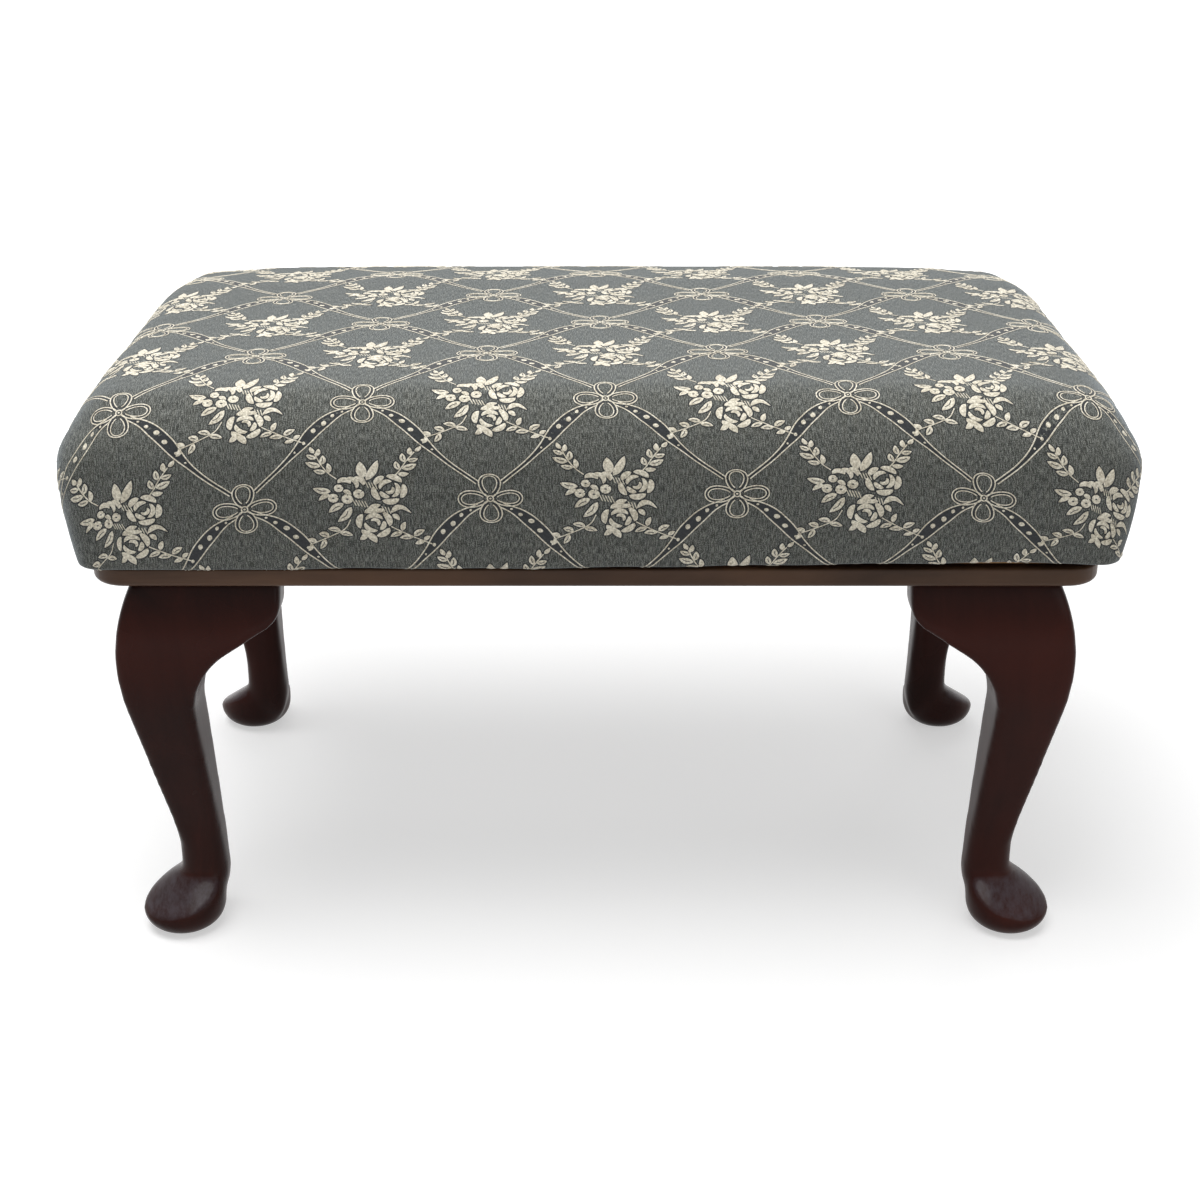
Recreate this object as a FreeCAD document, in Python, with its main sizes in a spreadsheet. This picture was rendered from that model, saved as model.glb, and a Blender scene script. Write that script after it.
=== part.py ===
import FreeCAD, Part
import Sketcher
import math
import os

from FreeCAD import Placement, Rotation, Vector

# An upholstered footstool with four cabriole legs, in millimetres.
# The origin is on the floor under the middle of the stool: +X runs along
# its length, the front faces -Y and +Z is up. "Inset" means a distance
# inwards from the outer edge of the rail frame.

DIMENSIONS = {
    # rail frame
    "frame_length": 450.0,
    "frame_depth": 266.0,
    "frame_height": 188.0,
    "rail_width": 54.0,
    "rail_thickness": 9.0,
    "rail_corner_radius": 16.0,
    "rail_top_round": 1.2,
    "rail_bottom_round": 3.0,
    # loose tongues in the mitres
    "tongue_thickness": 3.0,
    "tongue_half_width": 8.0,
    "tongue_inset": 9.0,
    "tongue_end_inset": 48.0,
    "joint_clearance": 0.1,
    # leg, seen from the front: the knee
    "knee_inset": 6.2,
    "knee_drop": 42.0,
    "knee_upper_radius": 87.0,
    "knee_lower_radius": 130.0,
    "knee_curve_drop": 68.0,
    "knee_arris_relief": 1.2,
    "post_inset": 45.0,
    # leg: the hollow behind the knee, which runs on into the ears
    "hollow_radius": 38.0,
    "hollow_inset": 40.0,
    "hollow_drop": 69.0,
    # leg: the ankle and the heel under it
    "ankle_height": 43.0,
    "ankle_outer_inset": 22.8,
    "ankle_inner_inset": 45.2,
    "ankle_round_stand": 1.0,
    "calf_round_drop": 64.0,
    "ankle_curve_radius": 84.0,
    "ankle_curve_rise": 16.8,
    "heel_height": 26.0,
    "heel_radius": 33.3,
    "heel_rise": 2.0,
    # leg: the foot
    "foot_inset": 23.8,
    "foot_pad_radius": 12.8,
    "foot_toe_radius": 20.3,
    "foot_toe_height": 11.0,
    "foot_toe_curve": 11.2,
    "foot_radius": 20.8,
    "foot_radius_height": 15.9,
    "foot_dome_curve": 26.4,
    "instep_slope": 35.5,
    "instep_start_height": 30.5,
    "instep_curve_radius": 7.5,
    # ear brackets beside the knees
    "ear_reach_inset": 82.6,
    "ear_slope": 33.0,
    "ear_end_curve": 13.0,
    "ear_depth_inset": 31.0,
    # dowels that hold a leg to its two ears and to the rail above
    "dowel_diameter": 6.0,
    "ear_dowel_length": 24.0,
    "ear_dowel_drop": 30.0,
    "ear_dowel_inset": 21.0,
    "rail_dowel_length": 22.0,
    "rail_dowel_rise": 6.0,
    "rail_dowel_far_inset": 38.0,
    "rail_dowel_near_inset": 20.0,
    # upholstered pad
    "pad_overhang_side": 9.0,
    "pad_overhang_front": 8.0,
    "pad_height": 77.4,
    "pad_belly_rise": 38.0,
    "pad_flare": 5.0,
    "pad_hem_round": 2.0,
    "pad_roll_height": 31.0,
    "pad_roll_width": 26.0,
    "pad_corner": 14.0,
    "pad_top_corner": 20.0,
    "cover_thickness": 1.2,
    "cover_return": 26.0,
    "layer_clearance": 0.3,
    "wadding_thickness": 4.0,
    "seat_board_thickness": 9.0,
    "lining_thickness": 0.6,
    "lining_edge_inset": 14.0,
    "lining_corner_radius": 10.0,
}

doc = FreeCAD.newDocument("Footstool")
sheet = doc.addObject("Spreadsheet::Sheet", "Sizes")


class Size:
    """A length together with the sheet expression that it comes from."""

    def __init__(self, value, text):
        self.value = value
        self.text = text

    @staticmethod
    def of(number):
        if isinstance(number, Size):
            return number
        return Size(float(number), repr(float(number)))

    def join(self, other, sign, value):
        return Size(value, "(%s %s %s)" % (self.text, sign, Size.of(other).text))

    def __add__(self, other):
        return self.join(other, "+", self.value + Size.of(other).value)

    def __sub__(self, other):
        return self.join(other, "-", self.value - Size.of(other).value)

    def __mul__(self, other):
        return self.join(other, "*", self.value * Size.of(other).value)

    def __truediv__(self, other):
        return self.join(other, "/", self.value / Size.of(other).value)

    def __neg__(self):
        return Size.of(0) - self

    def root(self):
        return Size(math.sqrt(self.value), "sqrt(%s)" % self.text)


def fill_sheet():
    """Write every driving dimension into the sheet and name its cell."""
    for row, (name, value) in enumerate(DIMENSIONS.items(), start=1):
        sheet.set("A%d" % row, name.replace("_", " "))
        sheet.set("B%d" % row, str(value))
        sheet.setAlias("B%d" % row, name)
    doc.recompute()


def size(name):
    return Size(DIMENSIONS[name], "Sizes." + name)


def bind(thing, path, length):
    thing.setExpression(path, Size.of(length).text)


def new_body(name):
    body = doc.addObject("PartDesign::Body", name)
    body.Label = name
    return body


def place(thing, x=0, y=0, z=0, turn=0):
    """Put a sub-part at a point that follows the sheet, turned about +Z."""
    thing.Placement = Placement(
        Vector(Size.of(x).value, Size.of(y).value, Size.of(z).value),
        Rotation(Vector(0, 0, 1), turn))
    bind(thing, "Placement.Base.x", x)
    bind(thing, "Placement.Base.y", y)
    bind(thing, "Placement.Base.z", z)


def new_sketch(body, name, role, offset=(0, 0, 0)):
    """A sketch on one of its body's own origin planes."""
    sketch = body.newObject("Sketcher::SketchObject", name)
    planes = [o for o in body.Origin.OriginFeatures if o.Role == role]
    sketch.AttachmentSupport = [(planes[0], "")]
    sketch.MapMode = "FlatFace"
    shift = [Size.of(o) for o in offset]
    sketch.AttachmentOffset = Placement(Vector(*[o.value for o in shift]), Rotation())
    for axis, length in zip("xyz", shift):
        if "Sizes." in length.text:
            bind(sketch, "AttachmentOffset.Base." + axis, length)
    return sketch


def drive_point(sketch, edge, end, point, label):
    """Tie one end of an edge to a place that follows the sheet."""
    for axis, kind, length in zip("xy", ("DistanceX", "DistanceY"), point):
        length = Size.of(length)
        index = sketch.addConstraint(
            Sketcher.Constraint(kind, -1, 1, edge, end, length.value))
        name = "%s%s" % (label, axis)
        sketch.renameConstraint(index, name)
        if "Sizes." in length.text:
            bind(sketch, "Constraints." + name, length)


def arc_between(start, end, radius, turn):
    """The shorter arc from start to end; turn is +1 for anticlockwise."""
    a = Vector(Size.of(start[0]).value, Size.of(start[1]).value, 0)
    b = Vector(Size.of(end[0]).value, Size.of(end[1]).value, 0)
    half = (b - a).Length / 2
    side = Vector(a.y - b.y, b.x - a.x, 0).normalize() * turn
    centre = (a + b) / 2 + side * math.sqrt(max(radius ** 2 - half ** 2, 0))
    bulge = centre - side * radius
    return Part.Arc(a, bulge, b)


def outline(sketch, corners):
    """
    Draw a closed outline. A corner is (x, y) where a straight edge leaves it,
    or (x, y, radius, turn) where an arc of that radius does.
    """
    edges = []
    for index, corner in enumerate(corners):
        start = corner[:2]
        end = corners[(index + 1) % len(corners)][:2]
        if len(corner) == 2:
            a = [Size.of(v).value for v in start]
            b = [Size.of(v).value for v in end]
            shape = Part.LineSegment(Vector(*a, 0), Vector(*b, 0))
            edges.append((sketch.addGeometry(shape, False), 1, 2))
        else:
            radius = Size.of(corner[2])
            shape = arc_between(start, end, radius.value, corner[3])
            first, last = (1, 2) if corner[3] > 0 else (2, 1)
            edges.append((sketch.addGeometry(shape, False), first, last))
    for index, (edge, first, last) in enumerate(edges):
        following = edges[(index + 1) % len(edges)]
        sketch.addConstraint(
            Sketcher.Constraint("Coincident", edge, last, following[0], following[1]))
    for index, (edge, first, last) in enumerate(edges):
        drive_point(sketch, edge, first, corners[index][:2], "p%d" % index)
        if len(corners[index]) == 4:
            radius = Size.of(corners[index][2])
            bound = sketch.addConstraint(Sketcher.Constraint("Radius", edge, radius.value))
            sketch.renameConstraint(bound, "r%d" % index)
            if "Sizes." in radius.text:
                bind(sketch, "Constraints.r%d" % index, radius)


def rounded_box(x_low, x_high, y_low, y_high, radii):
    """Corners of a rectangle, anticlockwise, each rounded by its own radius."""
    first, second, third, fourth = radii
    return [
        (x_low + first, y_low),
        (x_high - second, y_low, second, 1),
        (x_high, y_low + second),
        (x_high, y_high - third, third, 1),
        (x_high - third, y_high),
        (x_low + fourth, y_high, fourth, 1),
        (x_low, y_high - fourth),
        (x_low, y_low + first, first, 1),
    ]


def pad(body, sketch, length, reverse=False):
    feature = body.newObject("PartDesign::Pad", body.Name + "_pad")
    feature.Profile = sketch
    feature.Reversed = reverse
    bind(feature, "Length", length)
    doc.recompute()
    return feature


def pocket(body, sketch, length, reverse=False):
    """Cut a sketch into its body, and stop if nothing was removed."""
    before = body.Shape.Volume
    feature = body.newObject("PartDesign::Pocket", body.Name + "_pocket")
    feature.Profile = sketch
    feature.Reversed = reverse
    bind(feature, "Length", length)
    doc.recompute()
    if body.Shape.Volume >= before:
        raise RuntimeError("pocket of %s removed nothing" % body.Name)
    return feature


def loft(body, sketches, name="loft"):
    feature = body.newObject("PartDesign::AdditiveLoft", body.Name + "_" + name)
    feature.Profile = sketches[0]
    feature.Sections = sketches[1:]
    feature.Ruled = True
    doc.recompute()
    return feature


def mirrored(source, name, normal, base=(0, 0, 0)):
    """The same piece on the other side of an upright plane."""
    copy = doc.addObject("Part::Mirroring", name)
    copy.Source = source
    copy.Normal = Vector(*normal)
    copy.Base = Vector(*[Size.of(b).value for b in base])
    for axis, length in zip("xyz", base):
        if isinstance(length, Size):
            bind(copy, "Base." + axis, length)
    copy.Label = name
    return copy


def cylinder(name, radius, length, x, y, z, direction=(0, 0, 1)):
    rod = doc.addObject("Part::Cylinder", name)
    bind(rod, "Radius", radius)
    bind(rod, "Height", length)
    place(rod, x, y, z)
    rod.Placement.Rotation = Rotation(Vector(0, 0, 1), Vector(*direction))
    return rod


def fuse(name, pieces):
    joined = doc.addObject("Part::MultiFuse", name)
    joined.Shapes = pieces
    return joined


def group(name, pieces):
    together = doc.addObject("Part::Compound", name)
    together.Links = pieces
    together.Label = name
    return together


def cut(name, base, tool):
    result = doc.addObject("Part::Cut", name + "_cut")
    result.Base = base
    result.Tool = tool
    result.Label = name
    return result


fill_sheet()

half_length = size("frame_length") / 2
half_depth = size("frame_depth") / 2
rail_bottom = size("frame_height")
rail_top = rail_bottom + size("rail_thickness")
lining_top = rail_top + size("lining_thickness")
board_bottom = lining_top + size("cover_thickness")
board_top = board_bottom + size("seat_board_thickness")
clearance = size("joint_clearance")
pad_half_length = half_length + size("pad_overhang_side")
pad_half_depth = half_depth + size("pad_overhang_front")
nodes = {}


# Dowels at each corner: one from the leg up into the long rail, and one from
# the leg into each of its ears. With grow they are the holes for them.
corners = [(-1, -1), (1, -1), (1, 1), (-1, 1)]


def rail_dowel(side_x, side_y, grow, name):
    radius = size("dowel_diameter") / 2 + grow
    length = size("rail_dowel_length") + grow * 2
    return cylinder(name + "_rail", radius, length,
                    (half_length - size("rail_dowel_far_inset")) * side_x,
                    (half_depth - size("rail_dowel_near_inset")) * side_y,
                    rail_bottom + size("rail_dowel_rise") + grow, (0, 0, -1))


def ear_dowels(side_x, side_y, grow, name):
    radius = size("dowel_diameter") / 2 + grow
    length = size("ear_dowel_length") + grow * 2
    level = rail_bottom - size("ear_dowel_drop")
    start = size("post_inset") - length / 2
    beside = size("ear_dowel_inset")
    return [
        cylinder(name + "_long", radius, length, (half_length - start) * side_x,
                 (half_depth - beside) * side_y, level, (-side_x, 0, 0)),
        cylinder(name + "_short", radius, length, (half_length - beside) * side_x,
                 (half_depth - start) * side_y, level, (0, -side_y, 0)),
    ]


dowels = []
for number, (side_x, side_y) in enumerate(corners):
    name = "dowel_%d" % number
    dowels.append(rail_dowel(side_x, side_y, Size.of(0), name))
    dowels += ear_dowels(side_x, side_y, Size.of(0), name)
nodes["corner_dowels"] = group("corner_dowels", dowels)
rail_dowel_bores = group("rail_dowel_bores", [
    rail_dowel(side_x, side_y, clearance, "rail_bore_%d" % number)
    for number, (side_x, side_y) in enumerate(corners)])
ear_dowel_bores = group("ear_dowel_bores", ear_dowels(-1, -1, clearance, "ear_bore"))


# Rails: four flat boards mitred into a frame with round corners.
def rail(name, span, across_span, turn):
    """A rail that runs along its own X at the front, turned into place."""
    body = new_body(name + "_board")
    width = size("rail_width")
    corner = size("rail_corner_radius")
    cheek = corner * (1 - math.sqrt(0.5))
    half, front = span / 2, -(across_span / 2)
    board = new_sketch(body, name + "_outline", "XY_Plane", (0, 0, rail_bottom))
    outline(board, [
        (corner - half, front),
        (half - corner, front, corner, 1),
        (half - cheek, front + cheek),
        (half - width, front + width),
        (width - half, front + width),
        (cheek - half, front + cheek, corner, 1),
    ])
    base = pad(body, board, size("rail_thickness"))

    def outer_edges(level):
        """The front edge and its two corner arcs on one level."""
        limit = front.value + cheek.value + 0.01
        return ["Edge%d" % (index + 1) for index, edge in enumerate(base.Shape.Edges)
                if abs(edge.BoundBox.ZMin - level) < 0.01
                and abs(edge.BoundBox.ZMax - level) < 0.01
                and edge.BoundBox.YMax < limit]

    lower = body.newObject("PartDesign::Fillet", name + "_lower_edge")
    lower.Base = (base, outer_edges(rail_bottom.value))
    bind(lower, "Radius", size("rail_bottom_round"))
    doc.recompute()
    base = lower
    upper = body.newObject("PartDesign::Fillet", name + "_upper_edge")
    upper.Base = (lower, outer_edges(rail_top.value))
    bind(upper, "Radius", size("rail_top_round"))
    doc.recompute()

    slot_thickness = size("tongue_thickness") + clearance * 2
    slot_bottom = rail_bottom + (size("rail_thickness") - slot_thickness) / 2
    reach = (size("tongue_half_width") + clearance) * math.sqrt(0.5)
    start = size("tongue_inset") - clearance * math.sqrt(0.5)
    end = size("tongue_end_inset") + clearance * math.sqrt(0.5)
    for side in (-1, 1):
        slot = new_sketch(body, "%s_slot_%s" % (name, "right" if side > 0 else "left"),
                          "XY_Plane", (0, 0, slot_bottom))
        outline(slot, [
            ((half - start - reach) * side, front + start - reach),
            ((half - start + reach) * side, front + start + reach),
            ((half - end + reach) * side, front + end + reach),
            ((half - end - reach) * side, front + end - reach),
        ])
        pocket(body, slot, slot_thickness, reverse=True)
    body.Placement = Placement(Vector(), Rotation(Vector(0, 0, 1), turn))
    nodes[name] = body if turn in (90, 270) else cut(name, body, rail_dowel_bores)
    nodes[name].Label = name


rail("front_rail", size("frame_length"), size("frame_depth"), 0)
rail("right_rail", size("frame_depth"), size("frame_length"), 90)
rail("back_rail", size("frame_length"), size("frame_depth"), 180)
rail("left_rail", size("frame_depth"), size("frame_length"), 270)


# Loose tongues: a thin slip glued across each mitre.
def tongue(side_x, side_y):
    slip = doc.addObject("Part::Box", "tongue_%d_%d" % (side_x + 1, side_y + 1))
    width = size("tongue_half_width") * 2
    length = (size("tongue_end_inset") - size("tongue_inset")) * math.sqrt(2)
    bind(slip, "Length", length)
    bind(slip, "Width", width)
    bind(slip, "Height", size("tongue_thickness"))
    angle = math.degrees(math.atan2(-side_y, -side_x))
    lateral = size("tongue_half_width") * math.sqrt(0.5)
    start_x = (half_length - size("tongue_inset")) * side_x + lateral * -side_y
    start_y = (half_depth - size("tongue_inset")) * side_y + lateral * side_x
    level = rail_bottom + (size("rail_thickness") - size("tongue_thickness")) / 2
    place(slip, start_x, start_y, level, angle)
    return slip


nodes["mitre_tongues"] = group(
    "mitre_tongues", [tongue(side_x, side_y) for side_x, side_y in corners])


# Legs: drawn at the front left corner, where X and Y are the insets.
def knee_curve(drop):
    """Inset of the knee's face at a drop below the rail."""
    rise = size("knee_drop") - drop
    above = rise.value >= 0
    radius = size("knee_upper_radius") if above else size("knee_lower_radius")
    return size("knee_inset") + radius - (radius * radius - rise * rise).root()


def ear_foot_drop():
    """Drop below the rail at which the hollow reaches the face of an ear."""
    across = size("hollow_radius") - (size("post_inset") - size("hollow_inset"))
    radius = size("hollow_radius")
    return size("hollow_drop") - (radius * radius - across * across).root()


def bulge(radius, along):
    """How far an arc has left its tangent line, a distance along that line."""
    return radius - (radius * radius - along * along).root()


def sawn_leg():
    """The leg's outline as sawn from a post, the same on both its faces."""
    body = new_body("leg_sawn_front")
    post = size("post_inset")
    ankle, heel = size("ankle_height"), size("heel_height")
    outer, inner = size("ankle_outer_inset"), size("ankle_inner_inset")
    hollow_drop = size("hollow_drop")
    curve_rise, curve = size("ankle_curve_rise"), size("ankle_curve_radius")
    sole = size("heel_rise")
    side = new_sketch(body, "leg_outline", "XZ_Plane")
    outline(side, [
        (knee_curve(Size.of(0)), rail_bottom, size("knee_upper_radius"), 1),
        (size("knee_inset"), rail_bottom - size("knee_drop"), size("knee_lower_radius"), 1),
        (knee_curve(size("knee_curve_drop")), rail_bottom - size("knee_curve_drop")),
        (outer - bulge(curve, curve_rise), ankle + curve_rise, curve, -1),
        (outer, ankle),
        (outer, sole),
        (inner - bulge(size("heel_radius"), heel - sole), sole, size("heel_radius"), 1),
        (inner, heel),
        (size("hollow_inset"), rail_bottom - hollow_drop, size("hollow_radius"), -1),
        (post, rail_bottom - ear_foot_drop()),
        (post, rail_bottom),
    ])
    pad(body, side, post + 1, reverse=True)
    return body


def arris_envelope():
    """
    What the leg's four arrises are rounded to: upright and nearly as narrow
    as the ankle below, a leaning cone up the calf, and clear of the knee.
    """
    ankle = size("ankle_height")
    middle = (size("ankle_outer_inset") + size("ankle_inner_inset")) / 2
    radius = (size("ankle_inner_inset") - size("ankle_outer_inset")) / 2 \
        + size("ankle_round_stand")
    drop = size("calf_round_drop")
    outer, inner = knee_curve(drop), size("hollow_inset")
    top_middle = (outer + inner) / 2
    top_radius = (inner - outer) * math.sqrt(0.5)
    rise = rail_bottom - drop - ankle
    lean = middle - top_middle
    slant = (rise * rise + lean * lean * 2).root()
    cone = doc.addObject("Part::Cone", "calf_cone")
    bind(cone, "Radius1", radius)
    bind(cone, "Radius2", top_radius)
    bind(cone, "Height", slant)
    place(cone, middle, middle, ankle)
    cone.Placement.Rotation = Rotation(
        Vector(0, 0, 1), Vector(-lean.value, -lean.value, rise.value))
    ankle_rod = cylinder("ankle_rod", radius, ankle + 3, middle, middle, Size.of(0))
    rim_dip = top_radius * lean * math.sqrt(2) / slant + 1
    knee_block = doc.addObject("Part::Box", "knee_block")
    bind(knee_block, "Length", size("post_inset") + 2)
    bind(knee_block, "Width", size("post_inset") + 2)
    bind(knee_block, "Height", drop + rim_dip + 1)
    place(knee_block, 0, 0, rail_bottom - drop - rim_dip)
    return fuse("arris_envelope", [cone, ankle_rod, knee_block])


def knee_relief():
    """What is planed off the knee's outer arris, drawn across its corner."""
    body = new_body("knee_arris_relief")
    across = math.sqrt(2)
    relief = size("knee_arris_relief")
    knee, drop = size("knee_inset") * across + relief, size("knee_drop")
    end = size("knee_curve_drop")

    def arc_to(curve_drop):
        """Where the arris is, and the radius of an arc that reaches it."""
        away = (knee_curve(curve_drop) - size("knee_inset")) * across
        rise = drop - curve_drop
        return knee + away, (away * away + rise * rise) / (away * 2)

    top, top_radius = arc_to(Size.of(0))
    foot_end, end_radius = arc_to(end)
    outside = Size.of(-2)
    side = new_sketch(body, "relief_outline", "XZ_Plane")
    outline(side, [
        (outside, rail_bottom + 1),
        (outside, rail_bottom - end - 30),
        (foot_end + 30 * 0.28, rail_bottom - end - 30),
        (foot_end, rail_bottom - end, end_radius, -1),
        (knee, rail_bottom - drop, top_radius, -1),
        (top, rail_bottom),
        (top, rail_bottom + 1),
    ])
    feature = pad(body, side, size("post_inset"))
    feature.Midplane = True
    body.Placement = Placement(Vector(), Rotation(Vector(0, 0, 1), 45))
    return body


def turned_curve(x, z, radius, angles):
    """Corners along a turned curve: short straight cuts round one centre."""
    return [(x + radius * math.cos(math.radians(angle)),
             z + radius * math.sin(math.radians(angle))) for angle in angles]


def foot(body):
    """A turned pad foot whose top is hollowed up to the ankle."""
    centre = size("foot_inset")
    toe_curve, dome_curve = size("foot_toe_curve"), size("foot_dome_curve")
    toe = turned_curve(size("foot_toe_radius") - toe_curve, size("foot_toe_height"),
                       toe_curve, (-70, -44, -19))
    dome = turned_curve(size("foot_radius") - dome_curve, size("foot_radius_height"),
                        dome_curve, (-11, 7, 25, 49))
    profile = new_sketch(body, "foot_profile", "XZ_Plane", (centre, 0, -centre))
    outline(profile, [(Size.of(0), Size.of(0)), (size("foot_pad_radius"), Size.of(0))]
            + toe + dome + [(Size.of(0), dome[-1][1])])
    turned = body.newObject("PartDesign::Revolution", "foot_turning")
    turned.Profile = profile
    turned.ReferenceAxis = (profile, ["V_Axis"])
    turned.Angle = 360
    doc.recompute()

    ankle = (size("ankle_outer_inset") + size("ankle_inner_inset")) / 2
    shank = (size("ankle_inner_inset") - size("ankle_outer_inset")) / 2
    start = size("instep_start_height")
    bend = size("instep_curve_radius")
    slope = math.radians(DIMENSIONS["instep_slope"])
    steep = DIMENSIONS["instep_slope"] + 90
    top = start + 15
    reach = size("foot_radius") * 3
    curve = turned_curve(shank + bend, start, bend, (180, 180 + (180 - steep) / 2, 360 - steep))
    bend_x, bend_z = curve[-1]
    hollow = new_sketch(body, "instep_profile", "XZ_Plane", (ankle, 0, -ankle))
    outline(hollow, [(shank, top)] + curve + [
        (reach, bend_z - (reach - bend_x) * math.tan(slope)),
        (reach, top),
    ])
    instep = body.newObject("PartDesign::Groove", "instep")
    instep.Profile = hollow
    instep.ReferenceAxis = (hollow, ["V_Axis"])
    instep.Angle = 360
    before = body.Shape.Volume
    doc.recompute()
    if body.Shape.Volume >= before:
        raise RuntimeError("the instep removed nothing")


def leg():
    front = sawn_leg()
    side = mirrored(front, "leg_sawn_side", (1, -1, 0))
    shaft = doc.addObject("Part::MultiCommon", "leg_shaft")
    shaft.Shapes = [front, side, arris_envelope()]
    eased = cut("leg_eased", shaft, knee_relief())
    turned = new_body("pad_foot")
    foot(turned)
    doc.recompute()
    whole = fuse("cabriole_leg", [eased, turned])
    place(whole, -half_length, -half_depth)
    return whole


leg_dowel_bores = group("leg_dowel_bores", rail_dowel_bores.Links[:1] + ear_dowel_bores.Links)
nodes["leg_front_left"] = cut("leg_front_left", leg(), leg_dowel_bores)
nodes["leg_front_right"] = mirrored(nodes["leg_front_left"], "leg_front_right", (1, 0, 0))
nodes["leg_back_left"] = mirrored(nodes["leg_front_left"], "leg_back_left", (0, 1, 0))
nodes["leg_back_right"] = mirrored(nodes["leg_front_right"], "leg_back_right", (0, 1, 0))


# Ears: sawn to the bracket's outline, then to the curve of the knee.
def ear():
    body = new_body("knee_ear")
    post, reach = size("post_inset"), size("ear_reach_inset")
    hollow, curve = size("hollow_radius"), size("ear_end_curve")
    slope = math.radians(DIMENSIONS["ear_slope"])
    bend_x = size("hollow_inset") + hollow * (1 - math.sin(slope))
    bend_z = rail_bottom - size("hollow_drop") + hollow * math.cos(slope)
    shoulder_x = reach - curve * (1 - math.sin(slope))
    shoulder_z = bend_z + (shoulder_x - bend_x) * math.tan(slope)
    side = new_sketch(body, "ear_outline", "XZ_Plane")
    outline(side, [
        (post, rail_bottom),
        (post, rail_bottom - ear_foot_drop(), hollow, -1),
        (bend_x, bend_z),
        (shoulder_x, shoulder_z, curve, 1),
        (reach, shoulder_z + curve * math.cos(slope)),
        (reach, rail_bottom),
    ])
    pad(body, side, size("ear_depth_inset"), reverse=True)
    drop = ear_foot_drop() + 6
    front = new_sketch(body, "ear_knee_curve", "YZ_Plane")
    knee_level = rail_bottom - size("knee_drop")
    outside = Size.of(-5)
    outline(front, [
        (outside, rail_bottom + 1),
        (outside, rail_bottom - drop),
        (knee_curve(drop), rail_bottom - drop, size("knee_lower_radius"), -1),
        (size("knee_inset"), knee_level, size("knee_upper_radius"), -1),
        (knee_curve(Size.of(0)), rail_bottom),
        (knee_curve(Size.of(0)), rail_bottom + 1),
    ])
    pocket(body, front, reach * 2, reverse=True)
    place(body, -half_length, -half_depth)
    return body


ear_blank = ear()
front_ear = cut("ear_front_left", ear_blank, ear_dowel_bores)
nodes["ear_front_left"] = front_ear
across_corner = (-half_length, -half_depth, 0)
nodes["ear_left_front"] = mirrored(front_ear, "ear_left_front", (1, -1, 0), across_corner)
for name, source, normal in (
        ("ear_front_right", "ear_front_left", (1, 0, 0)),
        ("ear_back_left", "ear_front_left", (0, 1, 0)),
        ("ear_back_right", "ear_front_right", (0, 1, 0)),
        ("ear_right_front", "ear_left_front", (1, 0, 0)),
        ("ear_left_back", "ear_left_front", (0, 1, 0)),
        ("ear_right_back", "ear_right_front", (0, 1, 0))):
    nodes[name] = mirrored(nodes[source], name, normal)


# Pad: layers that follow one outline, each a little inside the last.
def pad_section(body, name, rise, inset, corner):
    """One level of the pad, at a rise above the cover's underside."""
    long_half = pad_half_length - inset
    deep_half = pad_half_depth - inset
    sketch = new_sketch(body, name, "XY_Plane", (0, 0, lining_top + rise))
    outline(sketch, rounded_box(-long_half, long_half, -deep_half, deep_half, [corner] * 4))
    return sketch


def pad_layer(name, offset, start, hem=None):
    """A solid that lies a given offset inside the outside of the pad."""
    body = new_body(name)
    belly, flare = size("pad_belly_rise"), size("pad_flare")
    height = size("pad_height")
    sections = []
    if hem is not None:
        sections.append(pad_section(body, name + "_hem", start, flare + hem,
                                    size("pad_corner") - hem))
        start = start + hem
    lean = flare * (Size.of(1) - start / belly)
    sections.append(pad_section(body, name + "_bottom", start, lean + offset,
                                size("pad_corner") - offset * 0.6))
    sections.append(pad_section(body, name + "_belly", belly, offset,
                                size("pad_corner") - offset * 0.6))
    roll_high = size("pad_roll_height") - offset
    roll_wide = size("pad_roll_width") - offset
    roll_foot = height - offset - roll_high
    for index, angle in enumerate((0, 24, 46, 67, 90)):
        turn = math.radians(angle)
        corner = size("pad_corner") + \
            (size("pad_top_corner") - size("pad_corner")) * math.sin(turn)
        sections.append(pad_section(body, "%s_roll_%d" % (name, index),
                                    roll_foot + roll_high * math.sin(turn),
                                    offset + roll_wide * (1 - math.cos(turn)),
                                    corner - offset * 0.6))
    loft(body, sections)
    return body


cover_thickness = size("cover_thickness")
gap = size("layer_clearance")
wadding_offset = cover_thickness + gap
foam_offset = wadding_offset + size("wadding_thickness") + gap
board_start = cover_thickness
foam_start = board_start + size("seat_board_thickness")

cover_outside = pad_layer("cover_outside", Size.of(0), Size.of(0), size("pad_hem_round"))
cover_inside = pad_layer("cover_inside", cover_thickness, board_start)
opening = doc.addObject("Part::Box", "cover_opening")
turned_under = size("pad_flare") + size("cover_return")
bind(opening, "Length", pad_half_length * 2 - turned_under * 2)
bind(opening, "Width", pad_half_depth * 2 - turned_under * 2)
bind(opening, "Height", cover_thickness * 4)
place(opening, turned_under - pad_half_length, turned_under - pad_half_depth,
      lining_top - cover_thickness)
nodes["fabric_cover"] = cut("fabric_cover", cover_outside,
                            fuse("cover_hollow", [cover_inside, opening]))

wadding_outside = pad_layer("wadding_outside", wadding_offset, board_start)
wadding_inside = pad_layer("wadding_inside", foam_offset - gap, board_start)
nodes["wadding"] = cut("wadding", wadding_outside, wadding_inside)

nodes["foam_block"] = pad_layer("foam_block", foam_offset, foam_start)


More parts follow.
